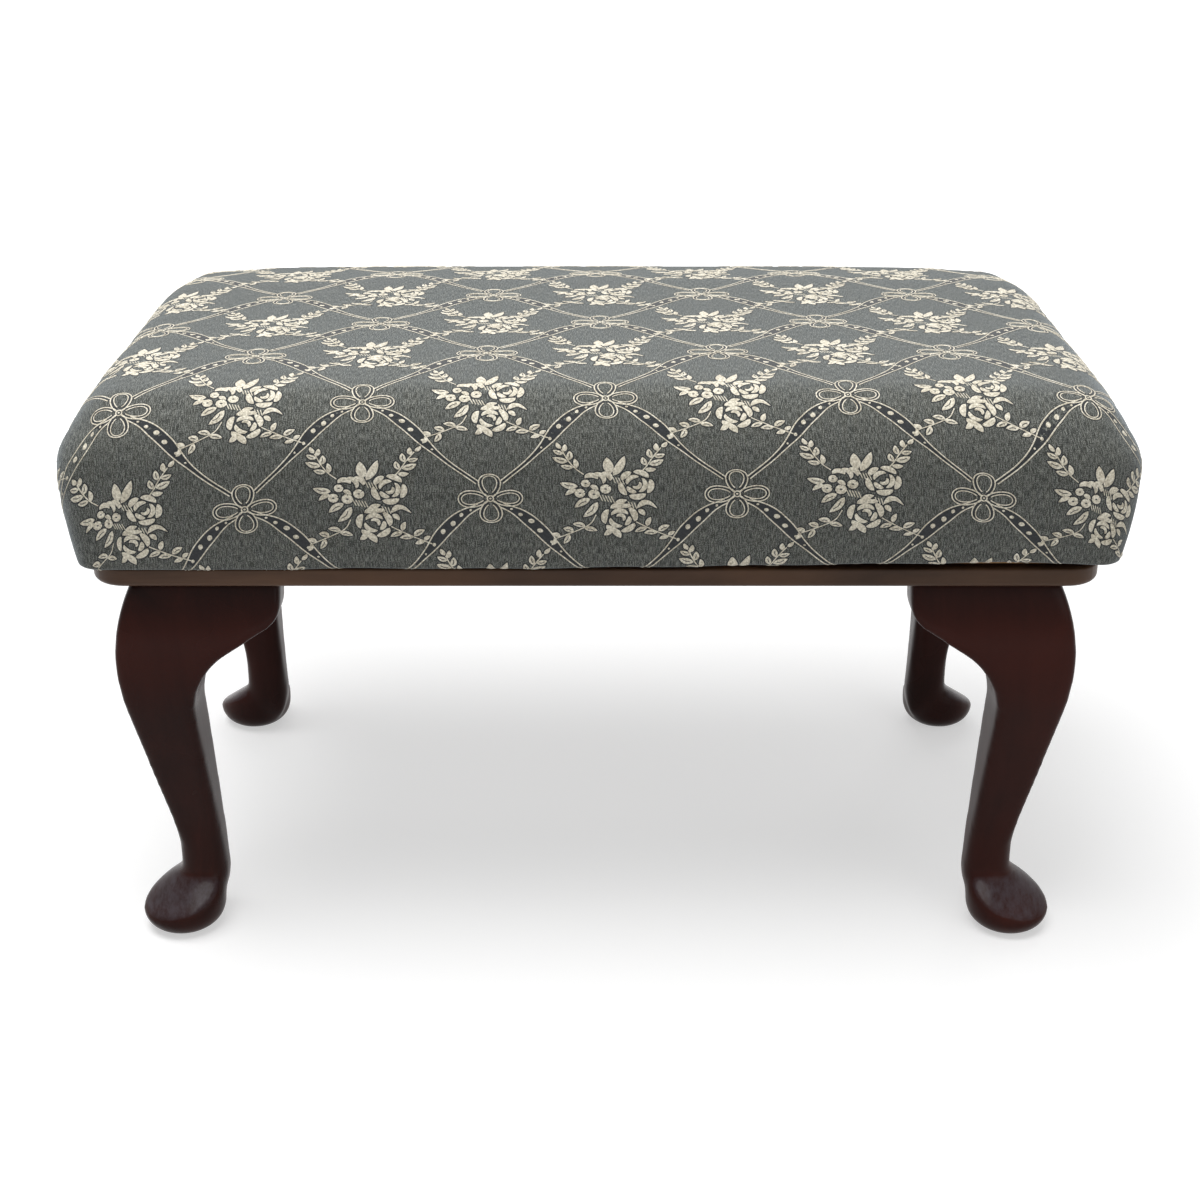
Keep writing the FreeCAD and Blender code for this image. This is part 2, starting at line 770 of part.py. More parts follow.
# Seat board and lining: flat sheets.
def flat_sheet(name, bottom, thickness, inset, corner):
    body = new_body(name)
    long_half = pad_half_length - inset
    deep_half = pad_half_depth - inset
    shape = new_sketch(body, name + "_outline", "XY_Plane", (0, 0, bottom))
    outline(shape, rounded_box(-long_half, long_half, -deep_half, deep_half, [corner] * 4))
    pad(body, shape, thickness)
    nodes[name] = body


flat_sheet("seat_board", board_bottom, size("seat_board_thickness"),
           size("pad_flare") + foam_offset, size("pad_corner") - foam_offset * 0.6)
flat_sheet("bottom_lining", rail_top, size("lining_thickness"),
           size("pad_flare") + size("lining_edge_inset"), size("lining_corner_radius"))


def check_document():
    """Stop if any object failed or any node isn't a sound solid."""
    doc.recompute()
    for thing in doc.Objects:
        if "Invalid" in thing.State or "Error" in thing.State:
            raise RuntimeError("%s failed: %s" % (thing.Name, thing.State))
    for name, node in nodes.items():
        shape = node.Shape
        if shape.isNull() or not shape.isValid() or not shape.Solids:
            raise RuntimeError("%s is not a sound solid" % name)


check_document()
os.makedirs("parts", exist_ok=True)
for name, node in nodes.items():
    node.Shape.exportStep("parts/%s.step" % name)
    print(name, len(node.Shape.Solids), round(node.Shape.Volume))
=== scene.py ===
import math
import random

import bmesh
import bpy
import numpy as np
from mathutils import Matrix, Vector
from mathutils.bvhtree import BVHTree


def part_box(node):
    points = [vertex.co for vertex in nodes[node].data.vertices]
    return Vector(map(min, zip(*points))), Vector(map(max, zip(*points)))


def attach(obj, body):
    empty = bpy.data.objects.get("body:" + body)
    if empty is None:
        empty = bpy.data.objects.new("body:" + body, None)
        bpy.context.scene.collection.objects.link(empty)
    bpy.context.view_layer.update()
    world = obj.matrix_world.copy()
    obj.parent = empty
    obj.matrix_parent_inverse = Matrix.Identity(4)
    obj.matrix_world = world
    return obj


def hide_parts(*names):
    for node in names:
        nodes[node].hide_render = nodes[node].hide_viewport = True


# An upholstered footstool. Lengths here are millimetres unless a name ends
# in _m or _M, and MM turns them into the metres that Blender works in.
MM = 0.001

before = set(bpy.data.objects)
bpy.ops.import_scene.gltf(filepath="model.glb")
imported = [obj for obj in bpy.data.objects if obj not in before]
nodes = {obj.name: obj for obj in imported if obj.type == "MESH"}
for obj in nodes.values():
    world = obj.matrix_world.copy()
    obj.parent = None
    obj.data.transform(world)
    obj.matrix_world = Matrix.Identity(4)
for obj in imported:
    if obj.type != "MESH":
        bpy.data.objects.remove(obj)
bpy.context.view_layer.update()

cover_low, cover_high = [np.array(corner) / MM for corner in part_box("fabric_cover")]
lining_low, lining_high = [np.array(corner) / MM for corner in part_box("bottom_lining")]

# The wooden frame and the square posts and ears under its corners
FRAME_X = -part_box("left_rail")[0][0] / MM
FRAME_Y = -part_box("front_rail")[0][1] / MM
RAIL_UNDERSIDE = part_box("front_rail")[0][2] / MM
POST = 45.0
EAR_FOOT = 52.0

# The pad's outline: a rolled edge above, a belly and a tucked hem below
HALF_LENGTH = cover_high[0]
HALF_DEPTH = cover_high[1]
HEM_LEVEL = cover_low[2]
PAD_HEIGHT = cover_high[2] - cover_low[2]
ROLL_WIDTH = 26.0
ROLL_HEIGHT = 31.0
BELLY_RISE = 38.0
HEM_INSET = 4.6
HEM_ROUND = 2.4
TURNED_UNDER = 24.0
TOP_CORNER = 24.0
BELLY_CORNER = 13.0
HEM_CORNER = 8.0
CROWN = 4.5
SETTLED = 1.8
FRONT_PLUMP = 1.6
BACK_DROP = 5.2
FRONT_CORNER_DROP = 2.5
BACK_CORNER_DROP = 3.0
CORNER_REACH = 75.0
COVER_SHIFT = 1.6
PLUMP_FROM, PLUMP_TO = 20.0, -115.0
DROP_FROM, DROP_TO = 50.0, 125.0

# The hem over the rail. Along the front it rises in steps towards the right,
# each given by where it starts and ends and how much it adds.
HEM_LEFT_END = -1.0
HEM_STEPS = ((-226.0, -200.0, 1.0), (-150.0, 0.0, 1.0), (20.0, 120.0, 2.0), (200.0, 228.0, -1.2))
HEM_WAVES = ((0.35, 23.0, 0.0), (0.25, 9.0, 1.0))
HEM_LOWEST = -0.2
LIFT_TOP, LIFT_FOOT = 26.0, 2.0
BACK_HEM = 0.8
BACK_WAVE, BACK_WAVE_SIZE = 0.5, 37.0

# How the cloth lies along its front and back edges: drawn up over the
# shoulder in the middle and a little to the left, but not at the corners.
SHOULDER_EASE = 9.2
EASE_FROM, EASE_TO = 8.0, 48.0
EASE_INNER, EASE_OUTER = 110.0, 225.0
FRONT_STRETCH = 0.019
FRONT_SHIFT = 2.4

CORE_X = HALF_LENGTH - ROLL_WIDTH
CORE_Y = HALF_DEPTH - ROLL_WIDTH

# Steps of the cover's mesh, and the pleats that take up its corners
STEPS_LONG = 60
STEPS_DEEP = 34
STEPS_CORNER = 12
STEPS_ROLL = 8
STEPS_SIDE = 8
STEPS_HEM = 3
STEPS_UNDER = 3
PLEAT_STEP = 9
PLEAT_REACH, PLEAT_AFTER = 0.352, 0.16
PLEAT_OUT, PLEAT_IN = 1.5, 0.9
FOLD_START = 34.0
FOLD_FROM, FOLD_FULL = FOLD_START * 0.55, FOLD_START * 1.3


def smooth(low, high, value):
    """0 below low, 1 above high and an S curve between."""
    share = min(max((value - low) / (high - low), 0.0), 1.0)
    return share * share * (3 - 2 * share)


def mix(a, b, share):
    return a + (b - a) * share


# Shape of the cover

def profile():
    """
    The pad's section from the top's flat middle outwards and down: rows of
    (outset, height above the hem, corner radius), and the cloth used so far.
    """
    rows = [(0.0, PAD_HEIGHT, TOP_CORNER)]
    for step in range(1, STEPS_ROLL + 1):
        turn = math.pi / 2 * step / STEPS_ROLL
        outset = ROLL_WIDTH * math.sin(turn)
        height = PAD_HEIGHT - ROLL_HEIGHT * (1 - math.cos(turn))
        squarer = smooth(0, 1, math.sin(turn) ** 4)
        rows.append((outset, height, mix(TOP_CORNER, BELLY_CORNER, squarer)))
    roll_foot = PAD_HEIGHT - ROLL_HEIGHT
    for step in range(1, STEPS_SIDE + 1):
        height = mix(roll_foot, HEM_ROUND, step / STEPS_SIDE)
        fall = max(0.0, 1 - height / BELLY_RISE)
        outset = ROLL_WIDTH - HEM_INSET * fall ** 1.5
        rows.append((outset, height, mix(BELLY_CORNER, HEM_CORNER, fall)))
    hem_outset = rows[-1][0]
    for step in range(1, STEPS_HEM + 1):
        turn = math.pi / 2 * step / STEPS_HEM
        rows.append((hem_outset - HEM_ROUND * (1 - math.cos(turn)),
                     HEM_ROUND * (1 - math.sin(turn)), HEM_CORNER))
    under_outset = rows[-1][0]
    for step in range(1, STEPS_UNDER + 1):
        rows.append((under_outset - TURNED_UNDER * step / STEPS_UNDER, 0.0, HEM_CORNER))
    lengths = [0.0]
    for before, after in zip(rows, rows[1:]):
        lengths.append(lengths[-1] + math.hypot(after[0] - before[0], after[1] - before[1]))
    return rows, lengths


def corner_way(outset, radius, share):
    """A point on the rounded corner, as offsets out from the core's corner."""
    if outset <= 0:
        return outset * 0.5, outset * 0.5
    radius = min(radius, outset)
    straight = outset - radius
    arc = radius * math.pi / 2
    along = (2 * straight + arc) * share
    if along < straight:
        return along, outset
    if along > straight + arc:
        return outset, 2 * straight + arc - along
    turn = (along - straight) / max(radius, 1e-6)
    return straight + radius * math.sin(turn), straight + radius * math.cos(turn)


CORNERS = ((-1, -1), (1, -1), (1, 1), (-1, 1))
OUTWARD = ((0, -1), (1, 0), (0, 1), (-1, 0))


def ring_columns():
    """
    The columns of cloth around the pad, anticlockwise from above, starting
    at the front left. Each is (core x, core y, side, share of the corner).
    """
    columns = []
    for side, steps in enumerate((STEPS_LONG, STEPS_DEEP, STEPS_LONG, STEPS_DEEP)):
        start, end = CORNERS[side], CORNERS[(side + 1) % 4]
        for step in range(steps + 1):
            share = step / steps
            columns.append((mix(start[0], end[0], share) * CORE_X,
                            mix(start[1], end[1], share) * CORE_Y, side, 0.0))
        for step in range(1, STEPS_CORNER):
            columns.append((end[0] * CORE_X, end[1] * CORE_Y, side, step / STEPS_CORNER))
    return columns


def pleat_share(side):
    """
    Where the cloth of one side ends in a corner. The long sides' cloth is
    pulled round onto the short sides, where it ends in a pleat.
    """
    near_end = (PLEAT_STEP + 0.5) / STEPS_CORNER
    return near_end if side in (0, 2) else 1 - near_end


def hem_lift(x, y):
    """How far the hem stands off the rail: more to the right, none at left."""
    if y > 0:
        return BACK_HEM + BACK_WAVE * math.sin(x / BACK_WAVE_SIZE)
    lift = HEM_LEFT_END
    for start, end, rise in HEM_STEPS:
        lift += rise * smooth(start, end, x)
    for height, size, phase in HEM_WAVES:
        lift += height * math.sin(x / size + phase)
    return max(lift, HEM_LOWEST)


def crown(x, y):
    """Height of the top over its flat, with its corners and back drawn down."""
    near_end = smooth(HALF_LENGTH - CORNER_REACH, HALF_LENGTH, abs(x))
    near_side = smooth(HALF_DEPTH - CORNER_REACH, HALF_DEPTH, abs(y))
    middle = CROWN * (1 - (x / HALF_LENGTH) ** 4) * (1 - (y / HALF_DEPTH) ** 4)
    plump = FRONT_PLUMP * smooth(PLUMP_FROM, PLUMP_TO, y)
    drop = BACK_DROP * smooth(DROP_FROM, DROP_TO, y)
    corner_drop = FRONT_CORNER_DROP if y < 0 else BACK_CORNER_DROP
    return middle + plump - drop - corner_drop * near_end * near_side


def cloth_slip(core_x, side, share, length):
    """Extra cloth used over the shoulder so far, and its slip to the left."""
    if side not in (0, 2):
        return 0.0, 0.0
    middle = 1 - smooth(EASE_INNER, EASE_OUTER, abs(core_x))
    ease = SHOULDER_EASE * middle * smooth(EASE_FROM, EASE_TO, length)
    slip = smooth(EASE_FROM, EASE_TO + 6, length) * (1 - smooth(0, 1, share))
    return ease, (FRONT_STRETCH * core_x + FRONT_SHIFT) * slip


def cover_surface():
    """
    The cover ready to inflate: its points, their places on the flat cloth,
    how firmly each is held, the faces, and the columns of points around it.
    """
    rows, lengths = profile()
    points, cloth, pins, faces = [], [], [], []

    def add(x, y, z, u, v, pinned):
        points.append((x, y, z))
        cloth.append((u, v))
        pins.append(pinned)
        return len(points) - 1

    core = {}
    for i in range(STEPS_LONG + 1):
        for j in range(STEPS_DEEP + 1):
            x = mix(-CORE_X, CORE_X, i / STEPS_LONG)
            y = mix(-CORE_Y, CORE_Y, j / STEPS_DEEP)
            core[i, j] = add(x, y, PAD_HEIGHT - SETTLED + crown(x, y), x, y, 0.0)
    for i in range(STEPS_LONG):
        for j in range(STEPS_DEEP):
            faces.append((core[i, j], core[i + 1, j], core[i + 1, j + 1], core[i, j + 1]))

    grid = []
    for core_x, core_y, side, share in ring_columns():
        out = OUTWARD[side]
        along = OUTWARD[(side + 1) % 4]
        i = round((core_x + CORE_X) / (2 * CORE_X) * STEPS_LONG)
        j = round((core_y + CORE_Y) / (2 * CORE_Y) * STEPS_DEEP)
        line = [core[i, j]]
        turn = math.pi / 2 * share
        own_cloth = share <= pleat_share(side)
        for (outset, height, radius), length in zip(rows[1:], lengths[1:]):
            side_out, side_along = 0.0, outset
            if share > 0:
                side_out, side_along = corner_way(outset, radius, share)
            x = core_x + along[0] * side_out + out[0] * side_along
            y = core_y + along[1] * side_out + out[1] * side_along
            ease, slip_u = cloth_slip(core_x, side, share, length)
            fan = min(length + ease, FOLD_START)
            below = max(length + ease - FOLD_START, 0.0)
            cloth_out = fan * math.cos(turn) + (below if own_cloth else 0.0)
            cloth_along = fan * math.sin(turn) + (0.0 if own_cloth else below)
            u = core_x + along[0] * cloth_along + out[0] * cloth_out - slip_u
            v = core_y + along[1] * cloth_along + out[1] * cloth_out
            rise = (crown(x, y) - SETTLED) * smooth(BELLY_RISE, PAD_HEIGHT - 6, height)
            lift = hem_lift(x, y) * smooth(LIFT_TOP, LIFT_FOOT, height)
            line.append(add(x, y, height + rise + lift, u, v, 1.0 if height < 0.1 else 0.0))
        grid.append(line)
    for index, line in enumerate(grid):
        after = grid[(index + 1) % len(grid)]
        for row in range(len(line) - 1):
            face = (line[row], line[row + 1], after[row + 1], after[row])
            faces.append(face[:3] if face[3] == face[0] else face)
    return np.array(points), np.array(cloth), np.array(pins), faces, grid


def mesh_object(name, points, faces, material=None, smooth_faces=True):
    """A mesh object from points in millimetres."""
    mesh = bpy.data.meshes.new(name)
    mesh.from_pydata([tuple(p) for p in np.asarray(points, dtype=float) * MM], [], faces)
    mesh.update()
    mesh.polygons.foreach_set("use_smooth", [smooth_faces] * len(mesh.polygons))
    piece = bpy.data.objects.new(name, mesh)
    bpy.context.scene.collection.objects.link(piece)
    if material:
        mesh.materials.append(material)
    return piece


def positions(piece):
    """The vertices of a mesh object, in millimetres."""
    flat = np.empty(len(piece.data.vertices) * 3)
    piece.data.vertices.foreach_get("co", flat)
    return flat.reshape(-1, 3) / MM


def set_positions(piece, points):
    """Move the vertices of a mesh object, from millimetres."""
    piece.data.vertices.foreach_set("co", (np.asarray(points) * MM).ravel())
    piece.data.update()


# The stuffing's push and the cloth's stiffness, how many steps it takes and
# the furthest it may move the cloth
STUFFING = {"quality": 6, "mass": 0.3, "tension_stiffness": 60, "compression_stiffness": 20,
            "shear_stiffness": 25, "bending_stiffness": 3, "use_pressure": True,
            "uniform_pressure_force": 4, "vertex_group_mass": "held", "shrink_min": 0.008}
INFLATE_FRAMES = 20
INFLATE_CAP = 6.0


def inflate(piece, pins):
    """Let the stuffing push the cloth out, held at the hem, then keep that."""
    rest = positions(piece)
    group = piece.vertex_groups.new(name="held")
    for index in np.nonzero(pins > 0)[0]:
        group.add([int(index)], float(pins[index]), "REPLACE")
    cloth = piece.modifiers.new("cloth", "CLOTH")
    for key, value in STUFFING.items():
        setattr(cloth.settings, key, value)
    cloth.settings.effector_weights.gravity = 0
    cloth.point_cache.frame_start = 1
    cloth.point_cache.frame_end = INFLATE_FRAMES
    scene = bpy.context.scene
    for step in range(1, INFLATE_FRAMES + 1):
        scene.frame_set(step)
    shaped = piece.evaluated_get(bpy.context.evaluated_depsgraph_get())
    moved = positions(shaped) - rest
    piece.modifiers.remove(cloth)
    piece.vertex_groups.clear()
    scene.frame_set(1)
    distance = np.linalg.norm(moved, axis=1, keepdims=True)
    limit = np.minimum(1.0, INFLATE_CAP / np.maximum(distance, 1e-6))
    set_positions(piece, rest + moved * limit)


# Materials

class Nodes:
    """Short names for building one tree of shader nodes."""

    def __init__(self, tree):
        self.tree = tree

    def node(self, kind, **values):
        made = self.tree.nodes.new(kind)
        for key, value in values.items():
            if hasattr(made, key):
                setattr(made, key, value)
            else:
                made.inputs[key.replace("_", " ")].default_value = value
        return made

    def link(self, source, target):
        self.tree.links.new(source, target)

    def fill(self, socket, value):
        """Give a socket a number or a colour, or link it to an output."""
        if isinstance(value, tuple):
            socket.default_value = (*value, 1)
        elif isinstance(value, (int, float)):
            socket.default_value = value
        else:
            self.link(value, socket)

    def maths(self, way, first, second):
        made = self.node("ShaderNodeMath", operation=way)
        self.fill(made.inputs[0], first)
        self.fill(made.inputs[1], second)
        return made.outputs[0]


class Shader(Nodes):
    """One material and its Principled surface."""

    def __init__(self, name):
        self.material = bpy.data.materials.new(name)
        self.material.use_nodes = True
        super().__init__(self.material.node_tree)
        self.surface = self.tree.nodes["Principled BSDF"]

    def coordinates(self, scale, turn=(0, 0, 0)):
        source = self.node("ShaderNodeTexCoord").outputs["Object"]
        return self.mapped(source, scale, turn)

    def cloth_coordinates(self, scale):
        source = self.node("ShaderNodeUVMap", uv_map="cloth").outputs["UV"]
        return self.mapped(source, scale)

    def mapped(self, source, scale, turn=(0, 0, 0)):
        mapping = self.node("ShaderNodeMapping")
        mapping.inputs["Scale"].default_value = scale
        mapping.inputs["Rotation"].default_value = turn
        self.link(source, mapping.inputs["Vector"])
        return mapping.outputs["Vector"]

    def noise(self, vector, scale, detail=2.0, roughness=0.5, distortion=0.0):
        made = self.node("ShaderNodeTexNoise", Scale=scale, Detail=detail,
                         Roughness=roughness, Distortion=distortion)
        self.link(vector, made.inputs["Vector"])
        return made.outputs["Fac"]

    def ramp(self, factor, stops):
        """A ramp of stops, each a place and a colour or a grey level."""
        made = self.node("ShaderNodeValToRGB")
        elements = made.color_ramp.elements
        while len(elements) < len(stops):
            elements.new(0.5)
        for element, (place, colour) in zip(elements, stops):
            grey = isinstance(colour, (int, float))
            element.position = place
            element.color = (colour, colour, colour, 1) if grey else (*colour, 1)
        self.link(factor, made.inputs["Fac"])
        return made.outputs["Color"]

    def blend(self, factor, first, second):
        made = self.node("ShaderNodeMix", data_type="RGBA")
        for index, value in ((0, factor), (6, first), (7, second)):
            self.fill(made.inputs[index], value)
        return made.outputs[2]

    def upward_part(self, vector):
        parts = self.node("ShaderNodeSeparateXYZ")
        self.link(vector, parts.inputs[0])
        return parts.outputs["Z"]

    def bump(self, height, strength, distance_m):
        made = self.node("ShaderNodeBump", Strength=strength, Distance=distance_m)
        self.link(height, made.inputs["Height"])
        self.link(made.outputs["Normal"], self.surface.inputs["Normal"])

    def set(self, **values):
        for key, value in values.items():
            self.fill(self.surface.inputs[key.replace("_", " ")], value)


def srgb(red, green, blue):
    """A colour as seen on screen, 0 to 255, in the renderer's own terms."""
    def linear(value):
        value /= 255
        return value / 12.92 if value <= 0.04045 else ((value + 0.055) / 1.055) ** 2.4
    return tuple(linear(v) for v in (red, green, blue))


def cloth_material():
    """The cover's ground: a fine grey weave with uneven warp threads."""
    m = Shader("cover_cloth")
    warp = m.noise(m.cloth_coordinates((1.0, 0.1, 1.0)), 2.6, 2, 0.7)
    slub = m.noise(m.cloth_coordinates((1.0, 0.16, 1.0)), 0.42, 2, 0.5)
    grit = m.noise(m.cloth_coordinates((1.0, 0.8, 1.0)), 2.3, 2, 0.7)
    threads = m.maths("ADD", m.maths("MULTIPLY", warp, 0.5), m.maths("MULTIPLY", grit, 0.5))
    ground = m.ramp(threads, ((0.42, srgb(38, 39, 34)), (0.5, srgb(81, 83, 78)),
                              (0.58, srgb(146, 148, 142))))
    tint = m.ramp(slub, ((0.35, srgb(74, 79, 82)), (0.65, srgb(98, 97, 90))))
    colour = m.blend(0.15, ground, tint)
    m.set(Base_Color=colour, Roughness=0.85, Specular_IOR_Level=0.2,
          Sheen_Weight=0.6, Sheen_Roughness=0.42, Sheen_Tint=srgb(224, 234, 242))
    wave_x = m.node("ShaderNodeTexWave", bands_direction="X", Scale=0.42)
    wave_y = m.node("ShaderNodeTexWave", bands_direction="Y", Scale=0.36)
    for wave in (wave_x, wave_y):
        m.link(m.cloth_coordinates((1, 1, 1)), wave.inputs["Vector"])
    weave = m.maths("MAXIMUM", wave_x.outputs["Fac"], wave_y.outputs["Fac"])
    m.bump(m.maths("ADD", m.maths("MULTIPLY", weave, 0.5), threads), 0.6, 0.0003)
    return m.material


def thread_material(name, dark, middle, light, sheen=0.2):
    """Raised figure threads: short floats laid side by side."""
    m = Shader(name)
    place = m.coordinates((1000, 1000, 1000))
    floats = m.noise(place, 1.1, 2, 0.6)
    broad = m.noise(place, 0.11, 2, 0.5)
    colour = m.ramp(floats, ((0.3, dark), (0.5, middle), (0.7, light)))
    colour = m.blend(0.25, colour, m.ramp(broad, ((0.35, middle), (0.65, light))))
    m.set(Base_Color=colour, Roughness=0.7, Specular_IOR_Level=0.3,
          Sheen_Weight=sheen, Sheen_Roughness=0.5)
    m.bump(floats, 0.8, 0.0003)
    return m.material


# How the grain is drawn out along, across or up the stool
GRAIN_ALONG = (0.12, 1, 1)
GRAIN_DEEP = (1, 0.12, 1)
GRAIN_UP = (1, 1, 0.16)


def wood_material(name, deep, body, glow, roughness, stretch, gloss=0.13):
    """Dark stained and polished wood with a faint grain."""
    m = Shader(name)
    colour, rough = wood_look(m, deep, body, glow, roughness, stretch)
    m.set(Base_Color=colour, Roughness=rough, Specular_IOR_Level=gloss,
          Coat_Weight=gloss * 0.6, Coat_Roughness=0.16)
    return m.material


def wood_look(m, deep, body, glow, roughness, stretch):
    """Grain, pores and cloudy polish: the colour and the roughness."""
    grain = m.noise(m.coordinates(stretch), 38, 6, 0.62, 0.6)
    pores = m.noise(m.coordinates(tuple(3 * way for way in stretch)), 110, 3, 0.7)
    cloudy = m.noise(m.coordinates((1, 1, 1)), 14, 3, 0.5)
    colour = m.ramp(grain, ((0.3, deep), (0.55, body), (0.75, glow)))
    colour = m.blend(m.ramp(cloudy, ((0.35, 0), (0.7, 1))), colour, m.blend(0.5, colour, glow))
    rough = m.ramp(cloudy, ((0.3, roughness * 0.8), (0.7, roughness * 1.25)))
    m.bump(m.maths("ADD", pores, m.maths("MULTIPLY", grain, 0.4)), 0.12, 0.0004)
    return colour, rough


# The right front foot's scuff
SCUFF_PLACE_M = (0.199, -0.148, 0.024)


def leg_material():
    """
    Dark red-brown polish: redder over the knees, greyer on the calves, with a
    painted highlight, brushed, on the top of each foot and a scuff on the
    right front one.
    """
    m = Shader("leg_wood")
    colour, rough = wood_look(m, srgb(30, 12, 9), srgb(46, 20, 15), srgb(64, 26, 19), 0.3, GRAIN_UP)
    place = m.node("ShaderNodeTexCoord").outputs["Object"]
    share = m.maths("DIVIDE", m.upward_part(place), RAIL_UNDERSIDE * MM)
    knee = m.ramp(share, ((0.63, 0), (0.777, 1), (0.861, 1), (0.966, 0)))
    colour = m.blend(m.maths("MULTIPLY", knee, 0.5), colour, srgb(62, 22, 14))
    facing = m.upward_part(m.node("ShaderNodeNewGeometry").outputs["Normal"])
    foot_top = m.maths("MULTIPLY", m.ramp(facing, ((0.5, 0), (0.85, 1))),
                       m.ramp(share, ((0.21, 1), (0.273, 0))))
    # Painted highlight on each foot's top: a brushed pale grey-lilac laid over the wood colour where
    # foot_top holds
    brushed = m.noise(m.coordinates((1, 0.25, 1), (0, 0, 0.5)), 260, 3, 0.7)
    bloom = m.maths("MULTIPLY", foot_top, m.ramp(brushed, ((0.3, 0.1), (0.7, 0.5))))
    colour = m.blend(bloom, colour, srgb(96, 92, 99))
    near = m.node("ShaderNodeVectorMath", operation="DISTANCE")
    m.link(place, near.inputs[0])
    near.inputs[1].default_value = SCUFF_PLACE_M
    centimetres = m.maths("MULTIPLY", near.outputs["Value"], 100)
    spot = m.ramp(centimetres, ((0.4, 1), (1.0, 0)))
    flecks = m.ramp(m.noise(m.coordinates((1, 1, 2)), 420, 2, 0.6), ((0.56, 0), (0.62, 1)))
    colour = m.blend(m.maths("MULTIPLY", spot, flecks), colour, srgb(138, 92, 58))
    m.set(Base_Color=colour, Roughness=m.blend(foot_top, rough, (0.2, 0.2, 0.2)),
          Specular_IOR_Level=0.07, Coat_Weight=0.04, Coat_Roughness=0.16)
    return m.material


def plain_material(name, first, second, scale, roughness, metallic=0.0, bump_m=0.0003):
    """A mottled material of two close colours."""
    m = Shader(name)
    spots = m.noise(m.coordinates((1, 1, 1)), scale, 4, 0.6)
    m.set(Base_Color=m.ramp(spots, ((0.35, first), (0.65, second))),
          Roughness=roughness, Metallic=metallic)
    m.bump(spots, 0.3, bump_m)
    return m.material


# The woven figure: bows joined by ribbons in a trellis, with a spray of
# roses in each opening. It is drawn in cloth millimetres.
REPEAT = 104.0
FIGURE_REACH = 50.0
TILT = math.radians(1.25)
FIRST_BOW = (2.0 - COVER_SHIFT, -22.6)

# How high the threads stand on the cloth, and the dark line round each shape, which is the weave's
# dark contour and also a painted shadow of the shape's raised edge
SHAPE_HEIGHT = 0.34
CORD_HEIGHT = 0.26
SIDE_HEIGHT = 0.1
OUTLINE_HEIGHT = 0.04
OUTLINE = 0.6
VEIN_HEIGHT = 0.37
VEINED_FROM = 2.2
STEM_STEPS = 12
BEAD_WIDTHS = np.array([0.35, 0.85, 1.0, 0.85, 0.35])


def curve(points, steps):
    """A smooth line through a few points, as steps + 1 places along it."""
    points = [np.array(p, dtype=float) for p in points]
    if len(points) == 2:
        return np.array([mix(points[0], points[1], s / steps) for s in range(steps + 1)])
    padded = [2 * points[0] - points[1]] + points + [2 * points[-1] - points[-2]]
    line = []
    spans = len(points) - 1
    for step in range(steps + 1):
        place = step / steps * spans
        span = min(int(place), spans - 1)
        t = place - span
        a, b, c, d = padded[span:span + 4]
        line.append(0.5 * (2 * b + (c - a) * t + (2 * a - 5 * b + 4 * c - d) * t * t
                           + (3 * b - a - 3 * c + d) * t ** 3))
    return np.array(line)


def unit(vectors):
    """Each vector brought to a length of 1."""
    return vectors / np.maximum(np.linalg.norm(vectors, axis=-1, keepdims=True), 1e-9)


def tangents(line):
    """The way that a line runs at each of its places, and the way across it."""
    ahead = unit(np.gradient(line, axis=0))
    return ahead, np.stack([-ahead[:, 1], ahead[:, 0]], axis=1)


def heading(turn):
    return np.array([math.cos(turn), math.sin(turn)])


def rotation(turn):
    return np.array([[math.cos(turn), -math.sin(turn)], [math.sin(turn), math.cos(turn)]])


def arc_line(centre, radius, start, end, steps, squash=1.0):
    """Part of a circle, with angles in degrees."""
    turns = np.radians(np.linspace(start, end, steps + 1))
    return np.stack([centre[0] + radius * np.cos(turns),
                     centre[1] + radius * squash * np.sin(turns)], axis=1)


